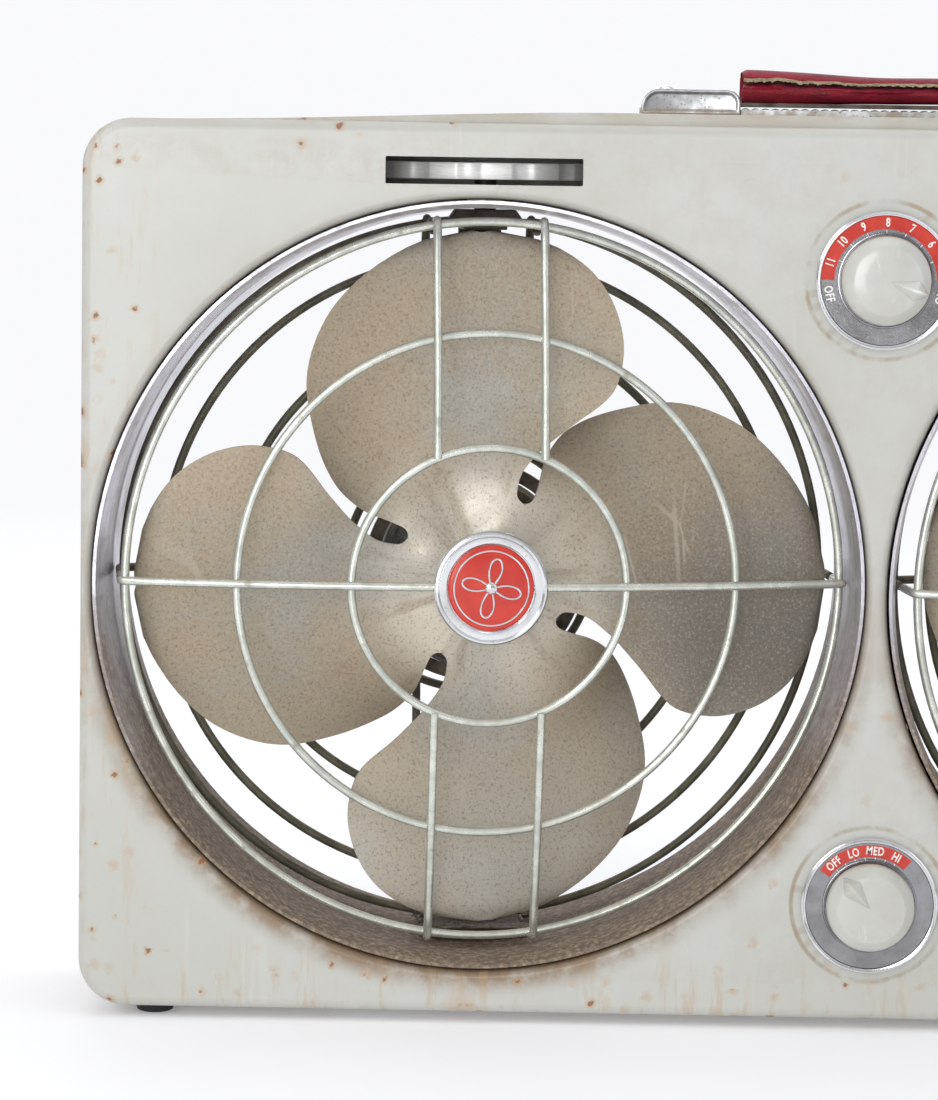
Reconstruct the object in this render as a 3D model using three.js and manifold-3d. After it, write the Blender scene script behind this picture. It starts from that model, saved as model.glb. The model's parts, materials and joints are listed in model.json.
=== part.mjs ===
// A twin-fan box ventilator: two four-bladed fans side by side in one pressed steel case, with a
// carrying handle, a thermostat dial and a speed dial between the fans. Each fan head turns in its
// round bore about an upright axis when the thumbwheel above it is turned, which reverses its air.
// Millimetres, +Z up, +X to the right of the front, and the front faces -Y. The origin is at the
// bottom centre of the whole object's box.

import * as THREE from "three";
import { mergeVertices } from "three/addons/utils/BufferGeometryUtils.js";
import Module from "manifold-3d";

// ---- Driving dimensions ----

const GAP = 0.3; // left between faces that touch on the real object
const RUN = 0.3; // radial clearance of a shaft or stem in its hole
const SHEET = 1.2; // steel sheet of the case and the liners

const BORE_RADIUS = 139.4; // hole in the front shell round each fan
const BORE_BRIDGE = 7.6; // metal left between the two bores
const SIDE_MARGIN = 4; // from a bore to the case's side
const LOWER_MARGIN = 15.8; // from a bore to the case's bottom
const UPPER_MARGIN = 26.9; // from a bore to the case's top
const CASE_DEPTH = 88;
const CASE_CORNER = 17.5; // radius of the case's corners, seen from the front
const EDGE_ROUND = 4; // soft edge between the faces and the sides
const SEAM = 16; // the front and rear shells meet this far behind mid-depth
const CROWN = 4.2; // rise of the case's arched top
const CROWN_INSET = 7; // from the front and back faces to the arch
const CROWN_END = 26; // from the case's sides to the arch's ends
const CROWN_FLAT = 92; // half the length of the level seat under the handle
const CROWN_EASE = 50; // length of the curve that leaves the seat and that meets the end
const CROWN_LIFT = 0.2; // share of the rise that the end's curve aims at

const FOOT_HEIGHT = 4;
const FOOT_RADIUS = 7.5;
const FOOT_TAPER = 1.2;
const FOOT_STEM = 3; // radius of the stem pressed into the case
const STEM_REACH = 3; // how far a foot's stem stands inside the case
const FOOT_INSET_X = 27; // from the case's side to a foot's centre
const FOOT_INSET_Y = 16; // from the case's front or back to a foot's centre

const THROAT_STEP = 3.4; // the liner's inside, smaller than the bore where the head turns
const TAIL_STEP = 1.4; // and smaller again at its back end
const FLARE_LENGTH = 7; // liner's front flare
const STRAIGHT_BEHIND = 12; // the liner stays straight this far behind mid-depth

const HEAD_TURN = 6.5; // degrees that the heads stand turned at rest, towards +X
const HEAD_CLEARANCE = 1.7; // from the head's swept ball to the throat
const TIP_CLEARANCE = 2.4; // from the blade tips to the guard's outer wires
const WIRE = 3.2; // guard wire diameter
const RING_FROM_AXIS = 21; // an outer ring in front of or behind the swivel axis
const FRONT_DOME = 17; // the front guard's rise from its outer ring to its middle
const REAR_DOME = 18;
const FRONT_RINGS = [91, 50]; // inner rings' radii
const REAR_RINGS = [117, 90];
const REAR_RING_CLEARANCE = 11; // from the motor to the innermost rear ring
const BAR_OFFSET = 19.5; // upright wires, to each side of the fan axis
const SIDE_STAY = 18.5; // how far a level wire's end runs back past its outer ring

const BADGE_RADIUS = 20.75;
const BADGE_DEPTH = 4;
const BADGE_PLATE = 1.2; // the rim's back plate
const DISC_RADIUS = 15.6;

const BLADE_SHEET = 1.2;
const BLADE_PLANE = -8; // the blades' middle plane from the swivel axis
const BLADE_TWIST = 24; // rise in mm for each radian round the shaft
const DISH_RADIUS = 33; // round middle of the pressed propeller
const LEFT_BLADE_PHASE = 5; // degrees past upright
const RIGHT_BLADE_PHASE = -5;
const COLLAR_RADIUS = 11;
const COLLAR_LENGTH = 8;

const SHAFT_RADIUS = 3;
const SHAFT_NOSE = 12; // how far the shaft stands in front of the blades
const MOTOR_RADIUS = 36;
const MOTOR_FRONT = 3; // front face of the motor behind the swivel axis
const MOTOR_LENGTH = 34;
const BELL_WALL = 2;
const BELL_SHOULDER = 6;
const NOSE_RADIUS = 9; // bearing nose inside a bell
const NOSE_LENGTH = 7;
const STATOR_LENGTH = 9;
const ROTOR_RADIUS = 17;
const ROTOR_LENGTH = 11;
const YOKE_THICK = 2;
const YOKE_WIDTH = 16;
const YOKE_HOOP = 5; // width of the hoop round the stator
const TAB_FRONT = -4; // the yoke's bent ends reach this far from the swivel axis

const STEM_RADIUS = 4; // pivot stems
const BRACKET_WIDTH = 40;
const BRACKET_DEPTH = 18;
const BRACKET_THICK = 1.8;
const PRONG_DROP = 6;
const BOSS_HEIGHT = 2.2;
const BOSS_WIDTH = 20;
const BUSH_WALL = 2.4;
const BUSH_FLANGE = 4;
const BUSH_FLANGE_THICK = 2;
const LOWER_STEM_REACH = 6; // past the liner

const WHEEL_ABOVE_BORE = 9.8; // the thumbwheel's middle
const WHEEL_BEHIND_FRONT = 6;
const WHEEL_THICK = 6.1;
const WHEEL_FLUTES = 12;
const FLUTE_DEPTH = 1.6;
const FLUTE_RADIUS = 7.6;
const SLOT_WIDTH = 70.3;
const SLOT_HEIGHT = 9.7;

const DIAL_CLEARANCE = 18; // from a dial's bezel to each bore
const BEZEL_RADIUS = 24.8;
const BEZEL_DEPTH = 2.6;
const BEZEL_RIM = 3.4;
const BEZEL_RECESS = 1.2;
const KNOB_RADIUS = 15.8;
const KNOB_DEPTH = 12;
const KNOB_RIDGE = 3.5; // height of the pointer ridge above the knob's face
const SPINDLE_RADIUS = 3;
const SPINDLE_REACH = 8; // past the front sheet, into the device
const THERMOSTAT_REST = 18; // degrees, the pointer below level, pointing right
const SPEED_REST = 42; // degrees, the pointer left of upright, at OFF
const THERMOSTAT_BODY = [40, 34, 30]; // width, height, depth
const SWITCH_BODY = [32, 28, 24];

const CAP_OUTER = 87; // a handle cap's outer end from the middle
const CAP_INNER = 51;
const CAP_HEIGHT = 9.3;
const CAP_DEPTH = 24;
const CAP_WALL = 1;
const CAP_SLOPE = 12; // length of the rounded outer end
const CAP_MOUTH = 5; // length of the sloped inner end
const CAVITY_LENGTH = 21; // room for the strap's end in a cap
const CAP_SCREW = 1.6; // screw's radius
const SCREW_INSET = 9; // from a cap's outer end
const STRAP_THICK = 1.4;
const STRAP_DEPTH = 14;
const STRAP_LOW = 3.4; // the strap's underside above the case at rest
const STRAP_IN_CAP = 16;
const GRIP_THICK = 13;
const GRIP_DEPTH = 25;
const STRIP_THICK = 2.6;

const INLET_HEIGHT = 30; // the cord inlet above the case's bottom
const INLET_RADIUS = 7;
const INLET_BORE = 3.6;
const INLET_LIP = 2.5;
const INLET_REACH = 5; // how far it stands out of the back

const BORE_SIDES = 36;
const SMALL_SIDES = 10;
const MOTOR_SIDES = 14;
const DIAL_SIDES = 20;
const WHEEL_SIDES = 36;
const GUARD_SIDES = [24, 18, 14]; // of the outer, middle and innermost wire rings
const WIRE_SIDES = 4;

// ---- Worked-out sizes and places ----

const FAN_SPACING = 2 * BORE_RADIUS + BORE_BRIDGE;
const CASE_WIDTH = FAN_SPACING + 2 * (BORE_RADIUS + SIDE_MARGIN);
const CASE_HEIGHT = LOWER_MARGIN + 2 * BORE_RADIUS + UPPER_MARGIN;
const FRONT = -CASE_DEPTH / 2; // the case's front face
const BACK = CASE_DEPTH / 2;
const CASE_BOTTOM = FOOT_HEIGHT;
const CASE_TOP = CASE_BOTTOM + CASE_HEIGHT;
const HANDLE_SEAT = CASE_TOP + CROWN;
const FAN_Z = CASE_BOTTOM + LOWER_MARGIN + BORE_RADIUS;

const THROAT_RADIUS = BORE_RADIUS - THROAT_STEP;
const TAIL_RADIUS = THROAT_RADIUS - TAIL_STEP;
const LINER_HALF = CASE_DEPTH / 2 - 2 * GAP;
const BALL_RADIUS = THROAT_RADIUS - HEAD_CLEARANCE - WIRE / 2;
const GUARD_RADIUS = Math.sqrt(BALL_RADIUS ** 2 - RING_FROM_AXIS ** 2); // outer rings
const BLADE_RADIUS = GUARD_RADIUS - WIRE / 2 - TIP_CLEARANCE;
const TAB_TOP = BLADE_RADIUS + TIP_CLEARANCE + GAP; // the yoke's bent ends, outside the tips
const RING_FLAT = GUARD_RADIUS * Math.cos(Math.PI / GUARD_SIDES[0]); // an outer ring's straight side
// In front of the rear guard's outer ring, whose section slopes away from the yoke's end.
const YOKE_BACK = RING_FROM_AXIS - WIRE / 2 - GAP + Math.max(RING_FLAT - TAB_TOP, 0);
const BRACKET_LOW = TAB_TOP + GAP;
const BRACKET_TOP = BRACKET_LOW + BRACKET_THICK;
const STATOR_FRONT = MOTOR_FRONT + (MOTOR_LENGTH - STATOR_LENGTH) / 2;
const STATOR_MIDDLE = STATOR_FRONT + STATOR_LENGTH / 2;
const STATOR_BORE = (ROTOR_RADIUS + RUN) / Math.cos(Math.PI / MOTOR_SIDES); // its flats clear the rotor
const BUSH_RADIUS = STEM_RADIUS + RUN + BUSH_WALL;
const WHEEL_RADIUS = CASE_DEPTH / 2 - WHEEL_BEHIND_FRONT;
const WHEEL_ABOVE_AXIS = BORE_RADIUS + WHEEL_ABOVE_BORE;

const BEZEL_FRONT = FRONT - GAP - BEZEL_DEPTH;
const KNOB_BACK = BEZEL_FRONT - GAP;
const KNOB_FRONT = KNOB_BACK - KNOB_DEPTH;
const DIAL_REACH = BORE_RADIUS + DIAL_CLEARANCE + BEZEL_RADIUS; // a fan axis to a dial's centre
const DIAL_FROM_FAN_AXIS = Math.sqrt(DIAL_REACH ** 2 - (FAN_SPACING / 2) ** 2);

const CAP_SCREW_X = CAP_OUTER - SCREW_INSET;

const THROUGH = 5; // how far a cutting tool runs past what it cuts

// ---- Helpers ----

const wasm = await Module();
wasm.setup();

// A closed three.js geometry as a solid that can be cut and joined.
function solid(geometry) {
  const bare = geometry.index ? geometry.toNonIndexed() : geometry.clone();
  bare.deleteAttribute("normal");
  bare.deleteAttribute("uv");
  const merged = mergeVertices(bare, 1e-4);
  return new wasm.Manifold(
    new wasm.Mesh({
      numProp: 3,
      vertProperties: new Float32Array(merged.attributes.position.array),
      triVerts: new Uint32Array(merged.index.array),
    }),
  );
}

// A solid back as a geometry.
function surface(body) {
  const mesh = body.getMesh();
  const geometry = new THREE.BufferGeometry();
  geometry.setAttribute("position", new THREE.BufferAttribute(mesh.vertProperties, 3));
  geometry.setIndex(new THREE.BufferAttribute(mesh.triVerts, 1));
  return geometry;
}

function join(...geometries) {
  return surface(geometries.map(solid).reduce((all, next) => all.add(next)));
}

function cut(geometry, ...tools) {
  return surface(tools.map(solid).reduce((left, tool) => left.subtract(tool), solid(geometry)));
}

function box(width, depth, height, x, y, z) {
  return new THREE.BoxGeometry(width, depth, height).translate(x, y, z);
}

// A profile of [radius, y] points spun about the Y axis; counter-clockwise profiles face out.
function spinY(profile, sides = SMALL_SIDES) {
  const points = profile.map(([radius, y]) => new THREE.Vector2(radius, y));
  return new THREE.LatheGeometry(points, sides);
}

// The same about the Z axis, for [radius, z] points.
function spinZ(profile, sides = SMALL_SIDES) {
  return spinY(profile, sides).rotateX(Math.PI / 2);
}

// A round bar or hole along Y, or along Z.
function rodY(radius, y0, y1, sides = SMALL_SIDES) {
  return new THREE.CylinderGeometry(radius, radius, y1 - y0, sides).translate(0, (y0 + y1) / 2, 0);
}

function rodZ(radius, z0, z1, sides = SMALL_SIDES) {
  const rod = new THREE.CylinderGeometry(radius, radius, z1 - z0, sides).rotateX(Math.PI / 2);
  return rod.translate(0, 0, (z0 + z1) / 2);
}

// A washer or tube along Y, or along Z.
function ringY(inner, outer, y0, y1, sides = SMALL_SIDES) {
  return spinY([[inner, y0], [outer, y0], [outer, y1], [inner, y1], [inner, y0]], sides);
}

function ringZ(inner, outer, z0, z1, sides = SMALL_SIDES) {
  return ringY(inner, outer, z0, z1, sides).rotateX(Math.PI / 2);
}

// A flat outline in X and Z, given thickness towards the front from y.
function plateXZ(shape, thickness, y, curveSegments = 8) {
  const flat = new THREE.ExtrudeGeometry(shape, { depth: thickness, bevelEnabled: false, curveSegments });
  return flat.rotateX(Math.PI / 2).translate(0, y + thickness, 0);
}

function roundedRectangle(width, height, radius) {
  const x = width / 2 - radius;
  const z = height / 2 - radius;
  const shape = new THREE.Shape();
  shape.absarc(x, z, radius, 0, Math.PI / 2);
  shape.absarc(-x, z, radius, Math.PI / 2, Math.PI);
  shape.absarc(-x, -z, radius, Math.PI, 1.5 * Math.PI);
  shape.absarc(x, -z, radius, 1.5 * Math.PI, 2 * Math.PI);
  return shape;
}

// A polygon through [x, z] corners.
function outline(corners) {
  return new THREE.Shape(corners.map(([x, z]) => new THREE.Vector2(x, z)));
}

// A wire along a smooth curve through [x, y, z] points.
function wire(points, steps) {
  const path = new THREE.CatmullRomCurve3(points.map(([x, y, z]) => new THREE.Vector3(x, y, z)));
  const section = new THREE.Shape();
  for (let i = 0; i < WIRE_SIDES; i += 1) {
    const angle = ((i + 0.5) / WIRE_SIDES) * 2 * Math.PI;
    const move = i === 0 ? "moveTo" : "lineTo";
    section[move]((WIRE / 2) * Math.cos(angle), (WIRE / 2) * Math.sin(angle));
  }
  section.closePath();
  return new THREE.ExtrudeGeometry(section, { steps, extrudePath: path, bevelEnabled: false });
}

// A wire ring round the Y axis.
function wireRing(radius, y, sides) {
  const profile = [];
  for (let i = 0; i <= WIRE_SIDES; i += 1) {
    const angle = ((i % WIRE_SIDES) / WIRE_SIDES) * 2 * Math.PI;
    profile.push([radius + (WIRE / 2) * Math.cos(angle), y + (WIRE / 2) * Math.sin(angle)]);
  }
  return spinY(profile, sides);
}

function finish(color, roughness, metalness) {
  return new THREE.MeshStandardMaterial({ color, roughness, metalness });
}

function part(name, geometry, material) {
  const mesh = new THREE.Mesh(geometry, material);
  mesh.name = name;
  return mesh;
}

function place(mesh, x, y, z) {
  mesh.position.set(x, y, z);
  return mesh;
}

const enamel = () => finish(0xd0d0ca, 0.42, 0.1);
const bareSteel = () => finish(0x8f8a92, 0.4, 0.8);
const chrome = () => finish(0xc8ccd0, 0.15, 1);
const zincWire = () => finish(0xb9bdb4, 0.35, 0.9);
const darkWire = () => finish(0x3c3830, 0.5, 0.7);
const dullSteel = () => finish(0x77736a, 0.55, 0.7);
const blackPaint = () => finish(0x1c1c1e, 0.5, 0.2);
const dustyBlade = () => finish(0x8d867b, 0.7, 0.4);
const redEnamel = () => finish(0xc82a1c, 0.25, 0);
const creamPlastic = () => finish(0xe2e0d4, 0.3, 0);
const redVinyl = () => finish(0x7c1220, 0.5, 0);
const blackRubber = () => finish(0x17171a, 0.85, 0);
const brass = () => finish(0xa98a4c, 0.35, 1);

// ---- Case ----

function caseBlock(inset) {
  const round = EDGE_ROUND - inset;
  const shape = roundedRectangle(
    CASE_WIDTH - 2 * inset - 2 * round,
    CASE_HEIGHT - 2 * inset - 2 * round,
    CASE_CORNER - inset - round,
  );
  const block = new THREE.ExtrudeGeometry(shape, {
    depth: CASE_DEPTH - 2 * inset - 2 * round,
    bevelThickness: round,
    bevelSize: round,
    bevelSegments: 2,
    curveSegments: 3,
  });
  const halfStraight = (CASE_DEPTH - 2 * inset - 2 * round) / 2;
  return block
    .rotateX(Math.PI / 2)
    .translate(0, halfStraight, CASE_BOTTOM + CASE_HEIGHT / 2);
}

// The arched top, or its hollow when it is inset by the sheet's thickness.
function crownBlock(inset) {
  const end = CASE_WIDTH / 2 - CROWN_END - inset;
  const top = CASE_TOP - inset;
  const arch = new THREE.Shape();
  arch.moveTo(-end, top - CROWN);
  arch.lineTo(end, top - CROWN);
  arch.lineTo(end, top);
  const rise = top + CROWN_LIFT * CROWN;
  const crest = top + CROWN;
  arch.bezierCurveTo(end - CROWN_EASE, rise, CROWN_FLAT + CROWN_EASE, crest, CROWN_FLAT, crest);
  arch.lineTo(-CROWN_FLAT, crest);
  arch.bezierCurveTo(-CROWN_FLAT - CROWN_EASE, crest, CROWN_EASE - end, rise, -end, top);
  const depth = CASE_DEPTH - 2 * (CROWN_INSET + inset);
  return plateXZ(arch, depth, -depth / 2);
}

function footHoles(y) {
  return [-1, 1].map((side) => {
    const x = side * (CASE_WIDTH / 2 - FOOT_INSET_X);
    return rodZ(FOOT_STEM + RUN, CASE_BOTTOM - THROUGH, CASE_BOTTOM + THROUGH).translate(x, y, 0);
  });
}

function bores(radius, y0, y1) {
  return [-1, 1].map((side) =>
    rodY(radius, y0, y1, BORE_SIDES).translate((side * FAN_SPACING) / 2, 0, FAN_Z),
  );
}

const FAR = 2 * CASE_WIDTH; // a cutting block larger than the case

function frontShell() {
  const behindSeam = box(FAR, FAR, FAR, 0, SEAM - GAP / 2 + FAR / 2, 0);
  const wheelSlots = [-1, 1].map((side) =>
    box(SLOT_WIDTH, 2 * THROUGH, SLOT_HEIGHT, (side * FAN_SPACING) / 2, FRONT, FAN_Z + WHEEL_ABOVE_AXIS),
  );
  const spindleHoles = [-1, 1].map((side) =>
    rodY(SPINDLE_RADIUS + 2, FRONT - THROUGH, FRONT + THROUGH).translate(
      0,
      0,
      FAN_Z + side * DIAL_FROM_FAN_AXIS,
    ),
  );
  const screwHoles = [-1, 1].map((side) =>
    rodZ(CAP_SCREW + RUN, CASE_TOP - THROUGH, HANDLE_SEAT + THROUGH).translate(side * CAP_SCREW_X, 0, 0),
  );
  const shell = cut(
    join(caseBlock(0), crownBlock(0)),
    caseBlock(SHEET),
    crownBlock(SHEET),
    behindSeam,
    ...bores(BORE_RADIUS, FRONT - THROUGH, FRONT + EDGE_ROUND + THROUGH),
    ...wheelSlots,
    ...spindleHoles,
    ...screwHoles,
    ...footHoles(FRONT + FOOT_INSET_Y),
  );
  return part("front_shell", shell, enamel());
}

function rearShell() {
  const beforeSeam = box(FAR, FAR, FAR, 0, SEAM + GAP / 2 - FAR / 2, 0);
  const inletHole = rodY(INLET_RADIUS + RUN, BACK - THROUGH, BACK + THROUGH);
  const shell = cut(
    join(caseBlock(0), crownBlock(0)),
    caseBlock(SHEET),
    crownBlock(SHEET),
    beforeSeam,
    ...bores(TAIL_RADIUS + SHEET + 2 * GAP, BACK - EDGE_ROUND - THROUGH, BACK + THROUGH),
    inletHole.translate(0, 0, CASE_BOTTOM + INLET_HEIGHT),
    ...footHoles(BACK - FOOT_INSET_Y),
  );
  return part("rear_shell", shell, enamel());
}

// The tunnel round a fan: flared at the front, straight where the head turns, drawn in behind.
function boreLiner(name, side) {
  const flareRadius = BORE_RADIUS - SHEET - 2 * GAP;
  const straightFrom = -LINER_HALF + FLARE_LENGTH;
  const wall = spinY(
    [
      [flareRadius, -LINER_HALF],
      [flareRadius + SHEET, -LINER_HALF],
      [THROAT_RADIUS + SHEET, straightFrom],
      [THROAT_RADIUS + SHEET, STRAIGHT_BEHIND],
      [TAIL_RADIUS + SHEET, LINER_HALF],
      [TAIL_RADIUS, LINER_HALF],
      [THROAT_RADIUS, STRAIGHT_BEHIND],
      [THROAT_RADIUS, straightFrom],
      [flareRadius, -LINER_HALF],
    ],
    BORE_SIDES,
  );
  const holeEnd = THROAT_RADIUS + SHEET + THROUGH;
  const stemHole = rodZ(BUSH_RADIUS + GAP, -holeEnd, holeEnd);
  return place(part(name, cut(wall, stemHole), bareSteel()), (side * FAN_SPACING) / 2, 0, FAN_Z);
}

// A flanged bush outside the liner, round a pivot stem. Up is +1 at the top of the bore.
function pivotBush(name, side, up) {
  const seat = THROAT_RADIUS + SHEET + GAP;
  const bore = STEM_RADIUS + RUN;
  const sleeve = spinZ([
    [bore, THROAT_RADIUS],
    [BUSH_RADIUS, THROAT_RADIUS],
    [BUSH_RADIUS, seat],
    [BUSH_RADIUS + BUSH_FLANGE, seat],
    [BUSH_RADIUS + BUSH_FLANGE, seat + BUSH_FLANGE_THICK],
    [bore, seat + BUSH_FLANGE_THICK],
    [bore, THROAT_RADIUS],
  ]);
  const bush = part(name, up > 0 ? sleeve : sleeve.rotateY(Math.PI), brass());
  return place(bush, (side * FAN_SPACING) / 2, 0, FAN_Z);
}

function foot(name, sideX, sideY) {
  const stemTop = CASE_BOTTOM + SHEET + STEM_REACH;
  const rubber = spinZ([
    [0, 0],
    [FOOT_RADIUS - FOOT_TAPER, 0],
    [FOOT_RADIUS, FOOT_HEIGHT - GAP],
    [FOOT_STEM, FOOT_HEIGHT - GAP],
    [FOOT_STEM, stemTop],
    [0, stemTop],
  ]);
  const x = sideX * (CASE_WIDTH / 2 - FOOT_INSET_X);
  const y = sideY * (CASE_DEPTH / 2 - FOOT_INSET_Y);
  return place(part(name, rubber, blackRubber()), x, y, 0);
}

function cordInlet() {
  const groove = SHEET / 2 + GAP;
  const inner = groove + INLET_LIP;
  const lip = INLET_RADIUS + INLET_LIP;
  const inlet = spinY([
    [INLET_BORE, -inner],
    [lip, -inner],
    [lip, -groove],
    [INLET_RADIUS, -groove],
    [INLET_RADIUS, groove],
    [lip, groove],
    [INLET_RADIUS, INLET_REACH],
    [INLET_BORE, INLET_REACH],
    [INLET_BORE, -inner],
  ]);
  const mesh = part("cord_inlet", inlet, blackRubber());
  return place(mesh, 0, BACK - SHEET / 2, CASE_BOTTOM + INLET_HEIGHT);
}

// ---- Handle ----

function handleCap(name, side) {
  const low = HANDLE_SEAT + GAP;
  const high = HANDLE_SEAT + CAP_HEIGHT;
  const toe = low + CAP_HEIGHT / 4;
  const profile = new THREE.Shape();
  profile.moveTo(CAP_INNER, low);
  profile.lineTo(CAP_OUTER, low);
  profile.lineTo(CAP_OUTER, toe);
  profile.quadraticCurveTo(CAP_OUTER - 1, high, CAP_OUTER - CAP_SLOPE, high);
  profile.lineTo(CAP_INNER + CAP_MOUTH, high);
  profile.lineTo(CAP_INNER, low + CAP_HEIGHT / 2);
  const body = plateXZ(profile, CAP_DEPTH, -CAP_DEPTH / 2);
  const cavityFloor = HANDLE_SEAT + STRAP_LOW - GAP;
  const cavityTop = high - CAP_WALL;
  const cavity = box(
    CAVITY_LENGTH + THROUGH,
    STRAP_DEPTH + 2 * GAP,
    cavityTop - cavityFloor,
    CAP_INNER + (CAVITY_LENGTH - THROUGH) / 2,
    0,
    (cavityTop + cavityFloor) / 2,
  );
  const screwHole = rodZ(CAP_SCREW + RUN, low - THROUGH, high + THROUGH).translate(CAP_SCREW_X, 0, 0);
  const cap = cut(body, cavity, screwHole);
  return part(name, side > 0 ? cap : cap.rotateZ(Math.PI), chrome());
}

function capScrew(name, side) {
  const head = HANDLE_SEAT + CAP_HEIGHT + GAP;
  const tip = HANDLE_SEAT - SHEET - THROUGH;
  const screw = spinZ([
    [0, tip],
    [CAP_SCREW, tip],
    [CAP_SCREW, head],
    [2 * CAP_SCREW, head],
    [1.5 * CAP_SCREW, head + 1],
    [0, head + 1.3],
  ]);
  return place(part(name, screw, chrome()), side * CAP_SCREW_X, 0, 0);
}

function handleStrip() {
  const length = 2 * (CAP_INNER - GAP);
  const low = HANDLE_SEAT + GAP;
  const strip = box(length, CAP_DEPTH, STRIP_THICK, 0, 0, low + STRIP_THICK / 2);
  const grooves = [-1, 0, 1].map((row) =>
    box(length + 2, CAP_DEPTH / 12, STRIP_THICK, 0, (row * CAP_DEPTH) / 4, low + 1.1 * STRIP_THICK),
  );
  return part("handle_strip", cut(strip, ...grooves), chrome());
}

function handleStrap() {
  const low = HANDLE_SEAT + STRAP_LOW;
  const half = CAP_INNER + STRAP_IN_CAP;
  const flat = box(2 * half, STRAP_DEPTH, STRAP_THICK, 0, 0, low + STRAP_THICK / 2);
  return part("handle_strap", flat, dullSteel());
}

function handleGrip() {
  const low = HANDLE_SEAT + STRAP_LOW + STRAP_THICK / 2;
  const length = 2 * (CAP_INNER - 2 * GAP);
  const section = roundedRectangle(GRIP_DEPTH, GRIP_THICK, GRIP_THICK / 2 - 0.5);
  const padded = new THREE.ExtrudeGeometry(section, {
    depth: length,
    bevelEnabled: false,
    curveSegments: 5,
  });
  padded.rotateX(Math.PI / 2).rotateZ(Math.PI / 2).translate(-length / 2, 0, low + GRIP_THICK / 2);
  const grooveTop = HANDLE_SEAT + STRAP_LOW + STRAP_THICK + GAP;
  const groove = box(
    length + THROUGH,
    STRAP_DEPTH + 2 * GAP,
    THROUGH,
    0,
    0,
    grooveTop - THROUGH / 2,
  );
  return part("handle_grip", cut(padded, groove), redVinyl());
}

// ---- Dials ----

function dialBezel(name, z) {
  const back = FRONT - GAP;
  const face = BEZEL_FRONT + BEZEL_RECESS;
  const hole = SPINDLE_RADIUS + 1;
  const plate = spinY(
    [
      [hole, face],
      [BEZEL_RADIUS - BEZEL_RIM, face],
      [BEZEL_RADIUS - 0.7 * BEZEL_RIM, BEZEL_FRONT],
      [BEZEL_RADIUS - 0.3 * BEZEL_RIM, BEZEL_FRONT],
      [BEZEL_RADIUS, back],
      [hole, back],
      [hole, face],
    ],
    DIAL_SIDES,
  );
  return place(part(name, plate, chrome()), 0, 0, z);
}

// A round knob with a raised pointer ridge across its face, the tip towards +X before it is turned.
function dialKnob(name, z, turn) {
  const rim = KNOB_RADIUS;
  const face = KNOB_FRONT + KNOB_RIDGE;
  const body = spinY(
    [
      [0, face],
      [rim - 2.2, face],
      [rim - 0.9, face + 2],
      [rim, KNOB_BACK],
      [0, KNOB_BACK],
    ],
    DIAL_SIDES,
  );
  const ridge = plateXZ(
    outline([[-rim + 4, -3.4], [4, -2.6], [rim - 2.4, 0], [4, 2.6], [-rim + 4, 3.4]]),
    KNOB_RIDGE + 1,
    KNOB_FRONT,
  );
  const socket = rodY(SPINDLE_RADIUS + RUN, KNOB_BACK - KNOB_DEPTH / 2, KNOB_BACK + THROUGH);
  const knob = cut(join(body, ridge), socket).rotateY(-turn * (Math.PI / 180));
  return place(part(name, knob, creamPlastic()), 0, 0, z);
}

function dialSpindle(name, z) {
  const tip = KNOB_BACK - KNOB_DEPTH / 2 + 2 * GAP;
  const rod = rodY(SPINDLE_RADIUS, tip, FRONT + SHEET + SPINDLE_REACH);
  return place(part(name, rod, brass()), 0, 0, z);
}

// A boxed device behind the front, its nose bored for the spindle.
function dialDevice(name, z, [width, height, depth], material) {
  const front = FRONT + SHEET + GAP;
  const body = box(width, depth, height, 0, front + depth / 2, 0);
  const bore = rodY(SPINDLE_RADIUS + RUN, front - THROUGH, front + SPINDLE_REACH + 1);
  return place(part(name, cut(body, bore), material), 0, 0, z);
}

// ---- Fan head ----

function domeY(radius, edgeY, rise) {
  const share = radius / GUARD_RADIUS;
  return edgeY + rise * (1 - share * share);
}

// A wire from one radius to another along a line that lies off the axis by an offset.
function domeWire(along, offset, from, to, edgeY, rise, tail) {
  const points = [];
  const spans = 3;
  for (let i = 0; i <= spans; i += 1) {
    const reach = from + ((to - from) * i) / spans;
    const y = domeY(Math.hypot(reach, offset), edgeY, rise);
    points.push(along === "x" ? [reach, y, offset] : [offset, y, reach]);
  }
  const endsOut = points[spans];
  tail.forEach(([out, y]) => {
    const step = Math.sign(to) * out;
    points.push(along === "x" ? [endsOut[0] + step, y, offset] : [offset, y, endsOut[2] + step]);
  });
  return wire(points, spans + 1 + 2 * tail.length);
}

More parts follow.
